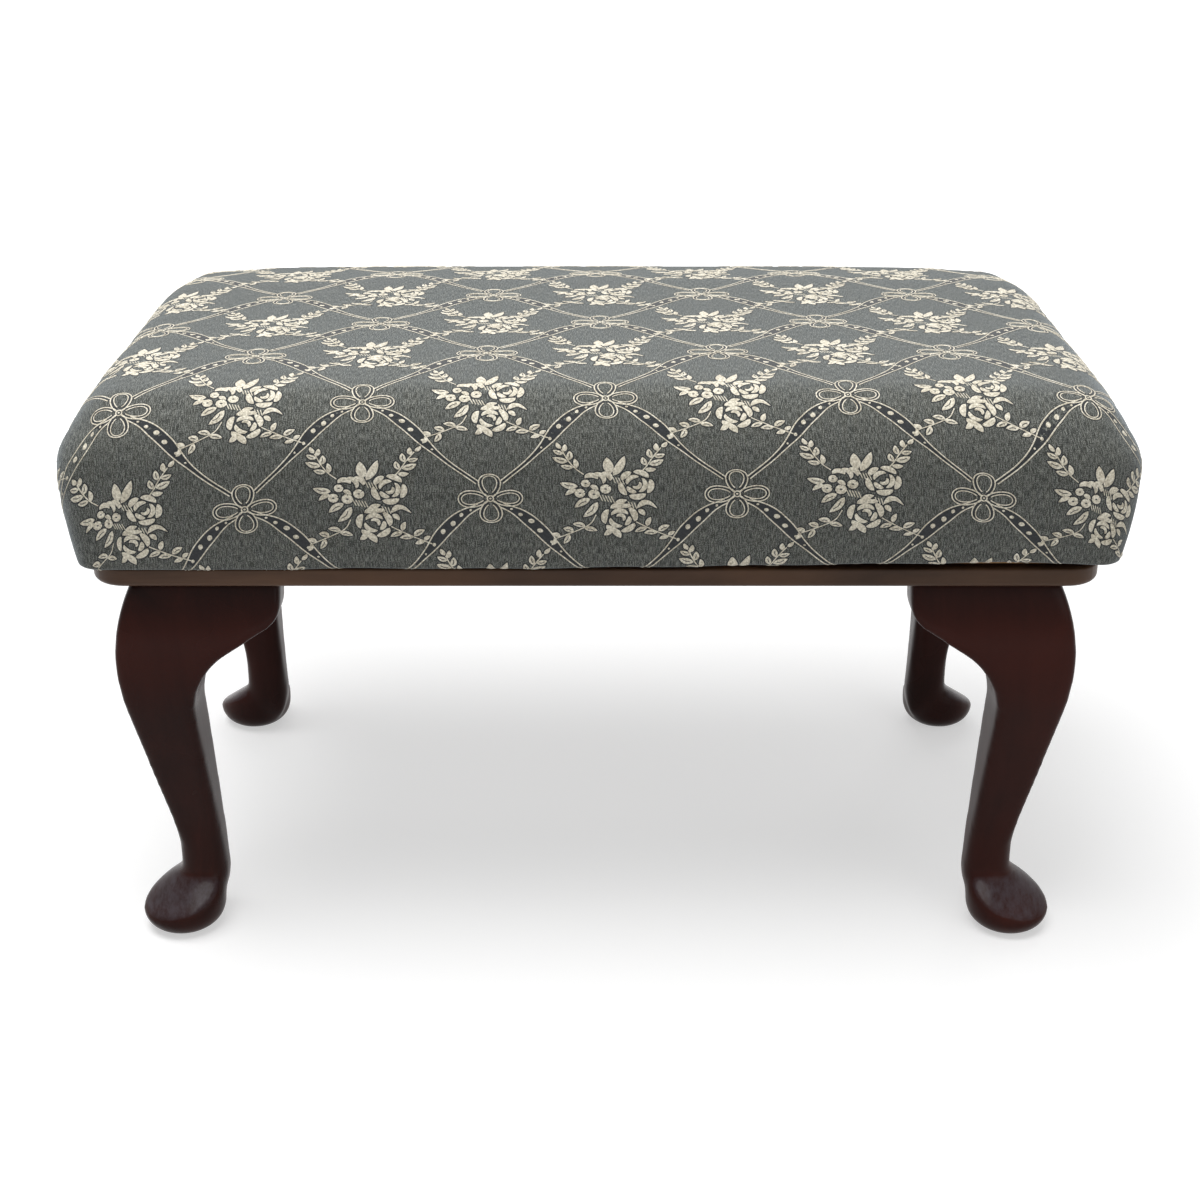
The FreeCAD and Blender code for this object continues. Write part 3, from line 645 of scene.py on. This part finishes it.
class Figure:
    """Strips of thread in the plane of the cloth, gathered by colour."""

    def __init__(self):
        self.parts = {"cream": [], "ink": []}

    def strip(self, kind, spine, widths, height, sides=None):
        """A strip along a line, flat or with its two sides lower."""
        half = np.broadcast_to(widths, len(spine))[:, None] / 2
        across = tangents(spine)[1]
        left, right = spine + across * half, spine - across * half
        if sides is None:
            rings = [(left, height), (right, height)]
        else:
            rings = [(left, sides), (spine, height), (right, sides)]
        verts = np.concatenate([np.c_[p, np.full(len(p), h)] for p, h in rings])
        count = len(spine)
        faces = []
        for ring in range(len(rings) - 1):
            for a in range(ring * count, (ring + 1) * count - 1):
                faces.append((a + 1, a, a + count, a + count + 1))
        self.parts[kind].append((verts, faces))

    def raised(self, spine, widths, height=SHAPE_HEIGHT, edge=OUTLINE):
        """A cream shape with a dark line round it: the weave's dark contour, and a painted shadow of
        the raised edge.
        """
        self.strip("cream", spine, widths, height, SIDE_HEIGHT)
        if edge > 0:
            # The dark strip under the shape is the weave's dark contour and also a painted shadow
            # round the raised threads
            first = spine[0] + unit(spine[0] - spine[1]) * edge
            last = spine[-1] + unit(spine[-1] - spine[-2]) * edge
            longer = np.concatenate([[first], spine, [last]])
            wider = np.broadcast_to(widths, len(spine)) + edge * 2
            self.strip("ink", longer, np.pad(wider, 1, constant_values=edge), OUTLINE_HEIGHT)

    def leaf(self, base, tip, width, bend=0.0, steps=7, vein=False):
        """A pointed oval, bent to one side and sometimes with a dark vein."""
        base, tip = np.array(base, float), np.array(tip, float)
        middle = (base + tip) / 2 + np.array([-(tip - base)[1], (tip - base)[0]]) * bend
        spine = curve([base, middle, tip], steps)
        share = np.linspace(0, 1, steps + 1)
        self.raised(spine, width * np.sin(np.pi * share ** 0.85) ** 0.75 + 0.12)
        if vein:
            heart = mix(middle, spine[steps // 2], 0.5)
            line = curve([mix(base, tip, 0.25), heart, mix(base, tip, 0.75)], 4)
            self.strip("ink", line, 0.35, VEIN_HEIGHT)

    def petal(self, centre, radius, start, end, width, squash=1.0):
        """A crescent that curls round a flower's heart."""
        spine = arc_line(centre, radius, start, end, 9, squash)
        share = np.linspace(0, 1, len(spine))
        self.raised(spine, width * np.sin(np.pi * share) ** 0.55 + 0.15)

    def bead(self, centre, size, turn=0.0, longer=1.25):
        """A small irregular dot, without a dark line."""
        way = heading(turn) * size / 2 * longer
        spine = curve([np.array(centre) - way, np.array(centre) + way], 4)
        self.raised(spine, BEAD_WIDTHS * size, SHAPE_HEIGHT, 0.0)

    def bloom(self, centre, size, turn):
        """A small open blossom: a ring of thread round a dark heart."""
        self.raised(arc_line(centre, size * 0.3, turn, turn + 360, 10, 0.85), size * 0.36)

    def cord(self, line, width, edge):
        """A thin raised thread."""
        self.raised(line, width, CORD_HEIGHT, edge)


def sprig(figure, way, leaves):
    """A thin curved stem with leaves: (share, side, length, width, lean)."""
    stem = curve(way, STEM_STEPS)
    figure.cord(stem, 0.55, 0.3)
    for share, side, length, width, lean in leaves:
        place = share * STEM_STEPS
        index = min(int(place), STEM_STEPS - 1)
        base = mix(stem[index], stem[index + 1], place - index)
        ahead = stem[index + 1] - stem[index]
        turn = math.atan2(ahead[1], ahead[0]) + math.radians(lean) * side
        tip = base + heading(turn) * length
        figure.leaf(mix(base, tip, 0.1), tip, width, 0.06 * side, 7, width > VEINED_FROM)


def rose(figure, centre, size, turn, squash=0.95):
    """An open rose: crescents of petal in three rings round a small heart."""
    outer = ((20, 88, 1.0), (95, 150, 1.0), (158, 222, 1.02), (230, 300, 0.98), (306, 372, 1.0))
    for start, end, reach in outer:
        figure.petal(centre, size * 0.42 * reach, start + turn, end + turn, size * 0.17, squash)
    for start, end in ((60, 170), (185, 260), (275, 400)):
        figure.petal(centre, size * 0.255, start + turn, end + turn, size * 0.13, squash)
    figure.petal(centre, size * 0.115, 200 + turn, 390 + turn, size * 0.1, squash)


def spray():
    """One spray of roses, buds, blossoms and leaves with four sprigs."""
    f = Figure()
    f.leaf((-0.9, 10.8), (-1.8, 19.2), 4.3, 0.03, 9)
    f.leaf((0.2, 9.8), (5.7, 19.8), 3.5, -0.05, 9)
    rose(f, (9.6, 5.4), 15.2, 10)
    rose(f, (2.4, -10.6), 15.8, 115)
    for centre, size, turn in (((-3.3, 3.4), 5.0, 45), ((-14.2, 1.7), 4.8, 10),
                               ((-8.3, 1.1), 5.2, 80), ((-11.6, 6.2), 4.2, 30)):
        f.bloom(centre, size, turn)
    f.petal((-9.2, 7.2), 3.0, 20, 150, 2.3)
    f.petal((-7.0, 7.6), 3.2, -30, 110, 2.2)
    f.petal((-3.6, 8.2), 2.6, -20, 120, 2.5)
    f.leaf((-9.8, 4.9), (-6.4, 3.2), 2.0, 0.1)
    f.leaf((-15.0, 4.9), (-22.4, 6.6), 2.9, 0.06, 8, True)
    f.leaf((-15.6, 3.4), (-20.4, 0.9), 2.0, -0.08)
    f.leaf((-10.0, -1.0), (-16.6, -4.9), 3.0, -0.05, 8, True)
    f.leaf((-6.8, -2.6), (-13.1, -9.6), 3.2, 0.08, 8, True)
    f.leaf((0.2, -4.9), (5.6, -1.9), 2.5, 0.12)
    f.leaf((3.6, -5.2), (7.4, -4.6), 1.9, 0.1)
    f.raised(curve([(9.8, -5.6), (12.2, -3.4), (15.0, -3.4), (18.2, -6.0)], 9),
             np.array([0.5, 1.5, 2.2, 2.5, 2.4, 2.1, 1.8, 1.4, 0.9, 0.2]))
    f.leaf((10.2, -6.6), (13.0, -9.4), 2.2, 0.1)
    f.leaf((-1.6, -15.6), (-4.5, -19.0), 2.5, 0.12)
    f.leaf((-1.0, -16.0), (2.6, -20.6), 3.1, 0.08)
    for x, y, count, lean in ((0.4, 7.6, 4, (-1.0, 3.0)), (-5.4, -0.6, 5, (1.3, -3.0)),
                              (6.6, -4.2, 3, (-1.0, 3.0))):
        for k in range(count):
            start = np.array([x + k * 1.25, y - k * 0.25])
            half = np.array(lean) / 2
            f.strip("cream", curve([start - half, start + half], 2), 0.4, 0.12, 0.06)
    sprig(f, [(-12.2, 10.6), (-15.6, 13.8), (-18.4, 18.4), (-20.6, 24.0)],
          ((0.28, -1, 5.6, 2.2, 38), (0.36, 1, 5.8, 2.4, 42), (0.58, 1, 7.4, 3.0, 40),
           (0.62, -1, 5.4, 2.6, 36), (0.84, 1, 5.2, 2.3, 42), (0.9, -1, 4.6, 2.1, 34),
           (1.0, 1, 4.2, 1.9, 6)))
    sprig(f, [(12.4, 11.6), (14.8, 14.6), (17.6, 19.0), (21.4, 24.0)],
          ((0.12, -1, 5.2, 2.2, 50), (0.3, 1, 5.0, 2.5, 52), (0.36, -1, 7.4, 3.0, 36),
           (0.6, 1, 5.4, 2.5, 42), (0.68, -1, 5.2, 2.3, 40), (0.86, 1, 4.6, 2.2, 40),
           (1.0, -1, 4.2, 1.9, 6)))
    sprig(f, [(-7.6, -8.6), (-10.4, -13.2), (-17.0, -16.8), (-26.0, -20.4)],
          ((0.42, -1, 6.0, 2.4, 42), (0.5, 1, 6.2, 2.4, 140), (0.66, -1, 5.2, 2.7, 44),
           (0.74, 1, 6.0, 2.4, 38), (0.88, -1, 4.4, 2.1, 42), (0.95, 1, 4.2, 1.9, 36)))
    sprig(f, [(9.2, -12.4), (14.2, -15.4), (19.6, -18.4), (26.2, -21.6)],
          ((0.3, 1, 5.2, 2.2, 100), (0.34, -1, 6.0, 2.3, 130), (0.58, 1, 6.2, 2.7, 60),
           (0.62, -1, 6.2, 2.5, 150), (0.82, 1, 3.8, 1.9, 62), (0.86, -1, 4.6, 2.0, 140)))
    return f


def bow():
    """A flat bow of four double outlined loops round a small knot."""
    f = Figure()
    loops = ((90, 11.6, 9.6), (270, 11.4, 9.8), (180, 13.6, 8.0), (0, 13.6, 7.6))
    for turn, length, width in loops:
        ahead = heading(math.radians(turn))
        across = np.array([-ahead[1], ahead[0]])
        lines = []
        for breadth, share, start in ((1.0, 1.0, 0.6), (0.66, 0.74, 2.6)):
            turns = np.linspace(0.06, 0.94, 21) * 2 * math.pi
            along = (1 - np.cos(turns)) / 2
            out = np.sin(turns) * (0.72 + 0.45 * along) * width / 2 * breadth
            reach = start + (length - 0.6) * share * along
            lines.append(ahead * reach[:, None] + across * out[:, None])
        f.strip("ink", (lines[0] + lines[1]) / 2, width * 0.2, 0.05)
        f.cord(lines[0], 0.58, 0.35)
        f.cord(lines[1], 0.5, 0.25)
    f.cord(arc_line((0, 0), 1.35, 0, 360, 12), 0.6, 0.4)
    f.bead((0, 0), 0.8)
    return f


def ribbon(side):
    """A ribbon from under one bow down to the next bow on one side."""
    f = Figure()
    steps = 30
    line = curve([(-4.8, -3.2), (-12.5, -7.6), (-20.6, -15.6), (-27.6, -25.2),
                  (-36.4, -35.2), (-46.8, -44.4)], steps) * np.array([side, 1])
    share = np.linspace(0, 1, steps + 1)
    swell = np.array([smooth(0.02, 0.32, s) * smooth(0.72, 0.42, s) for s in share])
    widths = 1.6 + 3.3 * swell + 0.7 * np.array([smooth(0.9, 0.6, s) for s in share])
    f.strip("ink", line, widths + 0.3, 0.06)
    ahead, across = tangents(line)
    for edge in (-0.5, 0.5):
        f.cord(line + across * (widths * edge)[:, None], 0.6, 0.25)
    for place, size, off in ((0.11, 1.0, 0.1), (0.2, 1.6, -0.25), (0.31, 2.2, 0.35),
                             (0.43, 2.1, -0.3), (0.545, 1.5, 0.2), (0.64, 0.9, 0.0)):
        index = int(place * steps)
        turn = math.atan2(ahead[index][1], ahead[index][0])
        f.bead(line[index] + across[index] * off, size, turn + 0.5, 1.2)
    return f


def crossed(first, second):
    """Twice the area between pairs of flat vectors."""
    return first[:, 0] * second[:, 1] - first[:, 1] * second[:, 0]


def side_lengths(triangles):
    return np.linalg.norm(triangles - np.roll(triangles, -1, axis=1), axis=2)


class ClothMap:
    """
    Finds where a point of flat cloth lies on the finished cover. Triangles
    that bridge a pleat, where cloth is missing, are left out.
    """

    def __init__(self, piece):
        mesh = piece.data
        mesh.calc_loop_triangles()
        uv = np.empty(len(mesh.loops) * 2)
        mesh.uv_layers["cloth"].data.foreach_get("uv", uv)
        loops = np.array([t.loops[:] for t in mesh.loop_triangles])
        verts = np.array([t.vertices[:] for t in mesh.loop_triangles])
        flat = uv.reshape(-1, 2)[loops]
        solid = positions(piece)[verts]
        sound = (side_lengths(flat) < side_lengths(solid) * 3 + 1).all(axis=1)
        sound &= np.abs(crossed(flat[:, 1] - flat[:, 0], flat[:, 2] - flat[:, 0])) > 1e-4
        self.flat = flat[sound]
        self.points = solid[sound]
        self.normals = np.array([v.normal[:] for v in mesh.vertices])[verts[sound]]
        corners = [(u, v, 0.0) for u, v in self.flat.reshape(-1, 2)]
        faces = [(i, i + 1, i + 2) for i in range(0, len(corners), 3)]
        self.tree = BVHTree.FromPolygons(corners, faces, all_triangles=True)

    def place(self, figure_points):
        """Points (u, v, height) on the cover, and which of them it holds."""
        found = [self.tree.find_nearest((u, v, 0.0)) for u, v, height in figure_points]
        index = np.array([triangle for place, normal, triangle, distance in found])
        held = np.array([distance < 0.02 for place, normal, triangle, distance in found])
        a, b, c = (self.flat[index, corner] for corner in range(3))
        p = figure_points[:, :2]
        whole = crossed(b - a, c - a)
        near_a = crossed(b - p, c - p) / whole
        near_b = crossed(c - p, a - p) / whole
        weights = np.stack([near_a, near_b, 1 - near_a - near_b], axis=1).clip(0, 1)[:, :, None]
        place = (self.points[index] * weights).sum(axis=1)
        normal = unit((self.normals[index] * weights).sum(axis=1))
        return place + normal * figure_points[:, 2:3], held


def trellis(reach_u, reach_v):
    """Where each bow with its two ribbons and each spray goes, row by row."""
    turn = rotation(TILT)
    drawn = {0: (bow(), ribbon(1), ribbon(-1)), 1: (spray(),)}
    rows = int(reach_v / (REPEAT / 2)) + 2
    columns = int(reach_u / (REPEAT / 2)) + 2
    for row in range(-rows, rows + 1):
        for column in range(-columns, columns + 1):
            centre = np.array(FIRST_BOW) + turn @ np.array([column, row]) * REPEAT / 2
            if (np.abs(centre) < (reach_u + FIGURE_REACH, reach_v + FIGURE_REACH)).all():
                for figure in drawn[(row + column) % 2]:
                    yield figure, turn, centre


def weave_figures(cloth_map, reach_u, reach_v):
    """Points and faces of all that is woven in each colour, on the cover."""
    placed = {"cream": ([], []), "ink": ([], [])}
    starts = {"cream": 0, "ink": 0}
    for figure, turn, centre in trellis(reach_u, reach_v):
        for colour, parts in figure.parts.items():
            for verts, faces in parts:
                points, all_faces = placed[colour]
                points.append(np.c_[verts[:, :2] @ turn.T + centre, verts[:, 2]])
                all_faces.extend(tuple(i + starts[colour] for i in face) for face in faces)
                starts[colour] += len(verts)
    meshes = {}
    for colour, (points, faces) in placed.items():
        points, held = cloth_map.place(np.concatenate(points))
        faces = np.array(faces)
        faces = faces[held[faces].all(axis=1)]
        used = np.zeros(len(points), bool)
        used[faces] = True
        renumber = np.cumsum(used) - 1
        meshes[colour] = (points[used], renumber[faces].tolist())
    return meshes


def build_cushion():
    """The stuffed cover, standing on the rails, with the cloth coordinates that the woven figures are
    laid by.
    """
    points, cloth, pins, faces, grid = cover_surface()
    points[:, 0] += COVER_SHIFT
    points[:, 2] += HEM_LEVEL
    cushion = mesh_object("cushion", points, faces, cloth_material())
    uv = cushion.data.uv_layers.new(name="cloth")
    vertex = np.empty(len(cushion.data.loops), dtype=int)
    cushion.data.loops.foreach_get("vertex_index", vertex)
    uv.data.foreach_set("uv", cloth[vertex].ravel())
    inflate(cushion, pins)
    pull_pleats(cushion, grid)
    finer = cushion.modifiers.new("finer", "SUBSURF")
    finer.levels = 1
    bpy.context.view_layer.objects.active = cushion
    cushion.select_set(True)
    bpy.ops.object.modifier_apply(modifier=finer.name)
    return cushion


def pull_pleats(cushion, grid):
    """Fold the cloth over itself where it turns each corner."""
    points = positions(cushion)
    rows, lengths = profile()
    for line, (core_x, core_y, side, share) in zip(grid, ring_columns()):
        if share <= 0:
            continue
        long_side = side in (0, 2)
        ahead = (share - pleat_share(side)) * (1 if long_side else -1)
        if ahead <= 0:
            fold = PLEAT_OUT * smooth(-PLEAT_REACH, 0, ahead)
        else:
            fold = -PLEAT_IN * smooth(PLEAT_AFTER, 0, ahead)
        out = np.array([*OUTWARD[(side + 1) % 4 if long_side else side], 0.0])
        for index, (outset, height, radius), length in zip(line[2:], rows[2:], lengths[2:]):
            if height > 0.05:
                depth = smooth(FOLD_FROM, FOLD_FULL, length)
                points[index] += out * fold * depth
    set_positions(cushion, points)


CREAM = (srgb(146, 137, 116), srgb(214, 206, 186), srgb(255, 250, 234))
INK = (srgb(20, 22, 24), srgb(32, 35, 38), srgb(50, 54, 57))

cushion = build_cushion()
cloth_reach = profile()[1][-1]
figures = weave_figures(ClothMap(cushion), CORE_X + cloth_reach, CORE_Y + cloth_reach)
# woven_outlines holds the dark ribbon, vein and contour threads; the contours round the cream shapes
# are also a painted shadow
woven = [mesh_object("woven_figures", *figures["cream"], thread_material("figure_thread", *CREAM)),
         mesh_object("woven_outlines", *figures["ink"], thread_material("outline_thread", *INK, 0.3))]

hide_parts("fabric_cover", "wadding", "foam_block")
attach(cushion, "root")
for piece in woven:
    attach(piece, "root")


# Lining under the pad
LINING_STEPS = (70, 40)
LINING_WAVES = 9
SAG = 0.9
RIPPLE = 0.22
SLACK_X, SLACK_Y = (38, 75), (32, 60)


def build_lining():
    """A black cloth tacked under the pad, a little slack between its edges."""
    half_x, half_y = lining_high[0], lining_high[1]
    level = (lining_low[2] + lining_high[2]) / 2
    steps_x, steps_y = LINING_STEPS
    rng = random.Random(4)
    waves = [(rng.uniform(-1, 1), rng.uniform(-1, 1), rng.uniform(0, 6), rng.uniform(18, 50))
             for _ in range(LINING_WAVES)]
    points, faces = [], []
    for j in range(steps_y + 1):
        for i in range(steps_x + 1):
            x = mix(-half_x, half_x, i / steps_x)
            y = mix(-half_y, half_y, j / steps_y)
            open_x = smooth(*SLACK_X, half_x - abs(x))
            open_y = smooth(*SLACK_Y, half_y - abs(y))
            ripple = sum(math.sin((a * x + b * y) / size + phase) for a, b, phase, size in waves)
            points.append((x, y, level - open_x * open_y * (SAG + RIPPLE * ripple)))
    for j in range(steps_y):
        for i in range(steps_x):
            a = j * (steps_x + 1) + i
            faces.append((a, a + 1, a + steps_x + 2, a + steps_x + 1))
    cloth = plain_material("lining_cloth", srgb(18, 18, 19), srgb(34, 34, 36), 900, 0.9, 0.0, 0.0002)
    return mesh_object("lining", points, faces, cloth)


lining = build_lining()
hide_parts("bottom_lining")
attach(lining, "root")


# Woodwork: legs and ears get even, polished skins
POLISH_VOXEL = 1.2
POLISH_ROUNDS = 20
POLISH_SHARE = 0.5
POLISH_FADE = (0.5, 2.5)
GLUE_LINE = 0.15

RAIL_TONES = (srgb(52, 35, 24), srgb(82, 59, 44), srgb(104, 77, 58))
RAW_TONES = (srgb(150, 110, 70), srgb(176, 134, 90), srgb(196, 156, 112))
leg_wood = leg_material()
rail_long = wood_material("rail_wood_long", *RAIL_TONES, 0.38, GRAIN_ALONG)
rail_deep = wood_material("rail_wood_deep", *RAIL_TONES, 0.38, GRAIN_DEEP)
raw_wood = wood_material("raw_wood", *RAW_TONES, 0.7, GRAIN_ALONG, 0.2)
NODE_WOODS = {"front_rail": rail_long, "back_rail": rail_long,
              "left_rail": rail_deep, "right_rail": rail_deep}


def even_skin(names):
    """One even mesh over a leg and its two ears, with every arris eased."""
    points, faces = [], []
    for name in names:
        node = nodes[name]
        start = len(points)
        points.extend(node.matrix_world @ v.co for v in node.data.vertices)
        faces.extend(tuple(i + start for i in f.vertices) for f in node.data.polygons)
    skin = mesh_object("skin", np.array(points) / MM, faces)
    even = skin.modifiers.new("even", "REMESH")
    even.mode = "VOXEL"
    even.voxel_size = POLISH_VOXEL * MM
    bpy.context.view_layer.objects.active = skin
    bpy.ops.object.modifier_apply(modifier=even.name)
    points = positions(skin)
    edges = np.empty(len(skin.data.edges) * 2, dtype=int)
    skin.data.edges.foreach_get("vertices", edges)
    first, second = edges.reshape(-1, 2).T
    count = np.bincount(edges, minlength=len(points))[:, None]
    below = RAIL_UNDERSIDE - points[:, 2:]
    share = np.clip((below - POLISH_FADE[0]) / POLISH_FADE[1], 0, 1) * POLISH_SHARE
    for _ in range(POLISH_ROUNDS):
        total = np.zeros_like(points)
        for axis in range(3):
            total[:, axis] = np.bincount(first, points[second, axis], len(points)) \
                + np.bincount(second, points[first, axis], len(points))
        points += (total / count - points) * share
    set_positions(skin, points)
    return skin


def polished(name, skin, side_x, side_y, beyond_x, beyond_y):
    """
    The part of a corner's skin that is this leg or ear, closed where it is
    glued. An ear lies beyond one of the upright planes of the leg's post.
    """
    plane_x = side_x * (FRAME_X - POST - GLUE_LINE) * MM
    plane_y = side_y * (FRAME_Y - POST - GLUE_LINE) * MM
    foot = (RAIL_UNDERSIDE - EAR_FOOT) * MM
    cut = bmesh.new()
    cut.from_mesh(skin.data)
    planes = (((plane_x, 0, 0), (1, 0, 0)), ((0, plane_y, 0), (0, 1, 0)),
              ((0, 0, foot), (0, 0, 1)))
    for place, way in planes:
        everything = cut.verts[:] + cut.edges[:] + cut.faces[:]
        bmesh.ops.bisect_plane(cut, geom=everything, plane_co=place, plane_no=way)
    others = []
    for face in cut.faces:
        centre = face.calc_center_median()
        upper = centre.z > foot
        in_x = upper and (plane_x - centre.x) * side_x > 0
        in_y = upper and (plane_y - centre.y) * side_y > 0
        if in_x != beyond_x or in_y != beyond_y:
            others.append(face)
    bmesh.ops.delete(cut, geom=others, context="FACES")
    rims = [edge for edge in cut.edges if edge.is_boundary]
    caps = bmesh.ops.holes_fill(cut, edges=rims, sides=0)["faces"]
    for face in cut.faces:
        face.smooth = True
    for face in caps:
        face.smooth = False
    for edge in rims:
        edge.smooth = False
    piece = mesh_object("polished_" + name, np.zeros((0, 3)), [], leg_wood)
    cut.to_mesh(piece.data)
    cut.free()
    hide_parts(name)
    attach(piece, "root")


for side_x, end in ((-1, "left"), (1, "right")):
    for side_y, front in ((-1, "front"), (1, "back")):
        leg = "leg_%s_%s" % (front, end)
        long_ear = "ear_%s_%s" % (front, end)
        short_ear = "ear_%s_%s" % (end, front)
        skin = even_skin((leg, long_ear, short_ear))
        polished(leg, skin, side_x, side_y, False, False)
        polished(long_ear, skin, side_x, side_y, True, False)
        polished(short_ear, skin, side_x, side_y, False, True)
        bpy.data.objects.remove(skin)

for name, node in nodes.items():
    if not name.startswith(("leg_", "ear_")):
        node.data.materials.clear()
        node.data.materials.append(NODE_WOODS.get(name, raw_wood))


# Pad screws: slotted heads under the long rails
SCREW_SPREAD = 100.0
SCREW_INSET = 38.0
HEAD_RADIUS = 4.0
HEAD_DEPTH = 1.1
SLOT_HALF = 0.5
HEAD_RINGS = ((1.0, 0.0), (1.0, 0.35), (0.7, 0.85), (0.35, 1.0))
HEAD_STEPS = 14


def screw_heads():
    """Four heads in one mesh: two domed halves with a slot between them."""
    points, faces = [], []
    edge = math.asin(SLOT_HALF / HEAD_RADIUS)
    angles = np.linspace(edge, math.pi - edge, HEAD_STEPS + 1)
    width, count = len(angles), len(HEAD_RINGS)
    for side_x, side_y in CORNERS:
        centre = np.array([side_x * SCREW_SPREAD, side_y * (FRAME_Y - SCREW_INSET)])
        turn = rotation(0.7 * side_x + 0.4 * side_y)
        for half in (-1, 1):
            start = len(points)
            for scale, depth in HEAD_RINGS:
                for angle in angles:
                    x = HEAD_RADIUS * scale * math.cos(angle)
                    y = max(HEAD_RADIUS * scale * math.sin(angle), SLOT_HALF) * half
                    place = centre + turn @ np.array([x, y])
                    points.append((*place, RAIL_UNDERSIDE - HEAD_DEPTH * depth))
            rings = [[start + ring * width + i for i in range(width)] for ring in range(count)]
            around = []
            for inner, outer in zip(rings, rings[1:]):
                for i in range(width - 1):
                    around.append((inner[i], inner[i + 1], outer[i + 1], outer[i]))
            first, last = [ring[0] for ring in rings], [ring[-1] for ring in rings]
            around += [tuple(rings[0][::-1]), tuple(rings[-1]), tuple((first + last[::-1])[::-1])]
            faces.extend(face if half < 0 else face[::-1] for face in around)
    steel = plain_material("screw_steel", srgb(120, 118, 112), srgb(160, 158, 150), 400, 0.4, 1.0)
    return mesh_object("pad_screws", points, faces, steel, False)


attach(screw_heads(), "root")


# Studio
WORLD_LEVEL = 0.3
FLOOR_NEAR_GLOW = 0.5
FLOOR_NEAR = 0.35
FLOOR_FAR = 1.1
LIGHTS = (("key", (-0.35, -0.25, 1.95), (1.6, 1.2), 36),
          ("fill", (1.3, -1.4, 1.1), (1.2, 1.2), 4),
          ("back", (0.2, 1.6, 1.5), (1.8, 0.9), 8))
AIM = (0, 0, 0.15)


def area_light(name, place, size, strength):
    light = bpy.data.lights.new(name, "AREA")
    light.shape = "RECTANGLE"
    light.size, light.size_y = size
    light.energy = strength
    holder = bpy.data.objects.new(name, light)
    holder.location = place
    holder.rotation_euler = (Vector(AIM) - Vector(place)).to_track_quat("-Z", "Y").to_euler()
    bpy.context.scene.collection.objects.link(holder)


def seen_directly(nodes_here):
    """1 where the camera looks, a shine reflects or glass shows, else 0."""
    path = nodes_here.node("ShaderNodeLightPath")
    mirrored = nodes_here.maths("MAXIMUM", path.outputs["Is Glossy Ray"],
                                path.outputs["Is Transmission Ray"])
    return nodes_here.maths("MAXIMUM", path.outputs["Is Camera Ray"], mirrored)


def build_studio():
    """
    A white room that lights the stool less than it shows, a floor that
    glows white away from the stool and is clear from below, and the lamps.
    """
    world = bpy.data.worlds.new("studio")
    bpy.context.scene.world = world
    world.use_nodes = True
    room = Nodes(world.node_tree)
    background = world.node_tree.nodes["Background"]
    background.inputs["Color"].default_value = (1, 1, 1, 1)
    level = room.node("ShaderNodeMapRange")
    level.inputs["To Min"].default_value = WORLD_LEVEL
    room.link(seen_directly(room), level.inputs["Value"])
    room.link(level.outputs["Result"], background.inputs["Strength"])

    bpy.ops.mesh.primitive_plane_add(size=8)
    floor = bpy.context.object
    floor.name = "floor"
    paint = Shader("floor_paint")
    away = paint.node("ShaderNodeVectorMath", operation="LENGTH")
    paint.link(paint.node("ShaderNodeTexCoord").outputs["Object"], away.inputs[0])
    fade = paint.node("ShaderNodeMapRange", interpolation_type="SMOOTHSTEP")
    fade.inputs["From Min"].default_value = FLOOR_NEAR
    fade.inputs["From Max"].default_value = FLOOR_FAR
    fade.inputs["To Min"].default_value = FLOOR_NEAR_GLOW
    paint.link(away.outputs["Value"], fade.inputs["Value"])
    glow = paint.maths("MULTIPLY", seen_directly(paint), fade.outputs["Result"])
    paint.set(Base_Color=(0.6, 0.6, 0.6), Roughness=0.9, Specular_IOR_Level=0.1,
              Emission_Color=(1.0, 1.0, 1.0), Emission_Strength=glow)
    through = paint.node("ShaderNodeBsdfTransparent")
    sides = paint.node("ShaderNodeMixShader")
    paint.link(paint.node("ShaderNodeNewGeometry").outputs["Backfacing"], sides.inputs[0])
    paint.link(paint.surface.outputs[0], sides.inputs[1])
    paint.link(through.outputs[0], sides.inputs[2])
    paint.link(sides.outputs[0], paint.tree.nodes["Material Output"].inputs["Surface"])
    floor.data.materials.append(paint.material)
    for light in LIGHTS:
        area_light(*light)


build_studio()


# Camera: the photograph's viewpoint, worked out from the stool's own lines
CAMERA_PLACE = (0.002, -0.9322, 0.5321)
CAMERA_PITCH = 23.64
CAMERA_LENS = 59.0
camera = bpy.data.objects.new("camera", bpy.data.cameras.new("camera"))
camera.data.lens = CAMERA_LENS
camera.data.sensor_width = 36
camera.location = CAMERA_PLACE
camera.rotation_euler = (math.radians(90 - CAMERA_PITCH), 0, 0)
bpy.context.scene.collection.objects.link(camera)
bpy.context.scene.camera = camera
bpy.context.scene.view_settings.view_transform = "Standard"
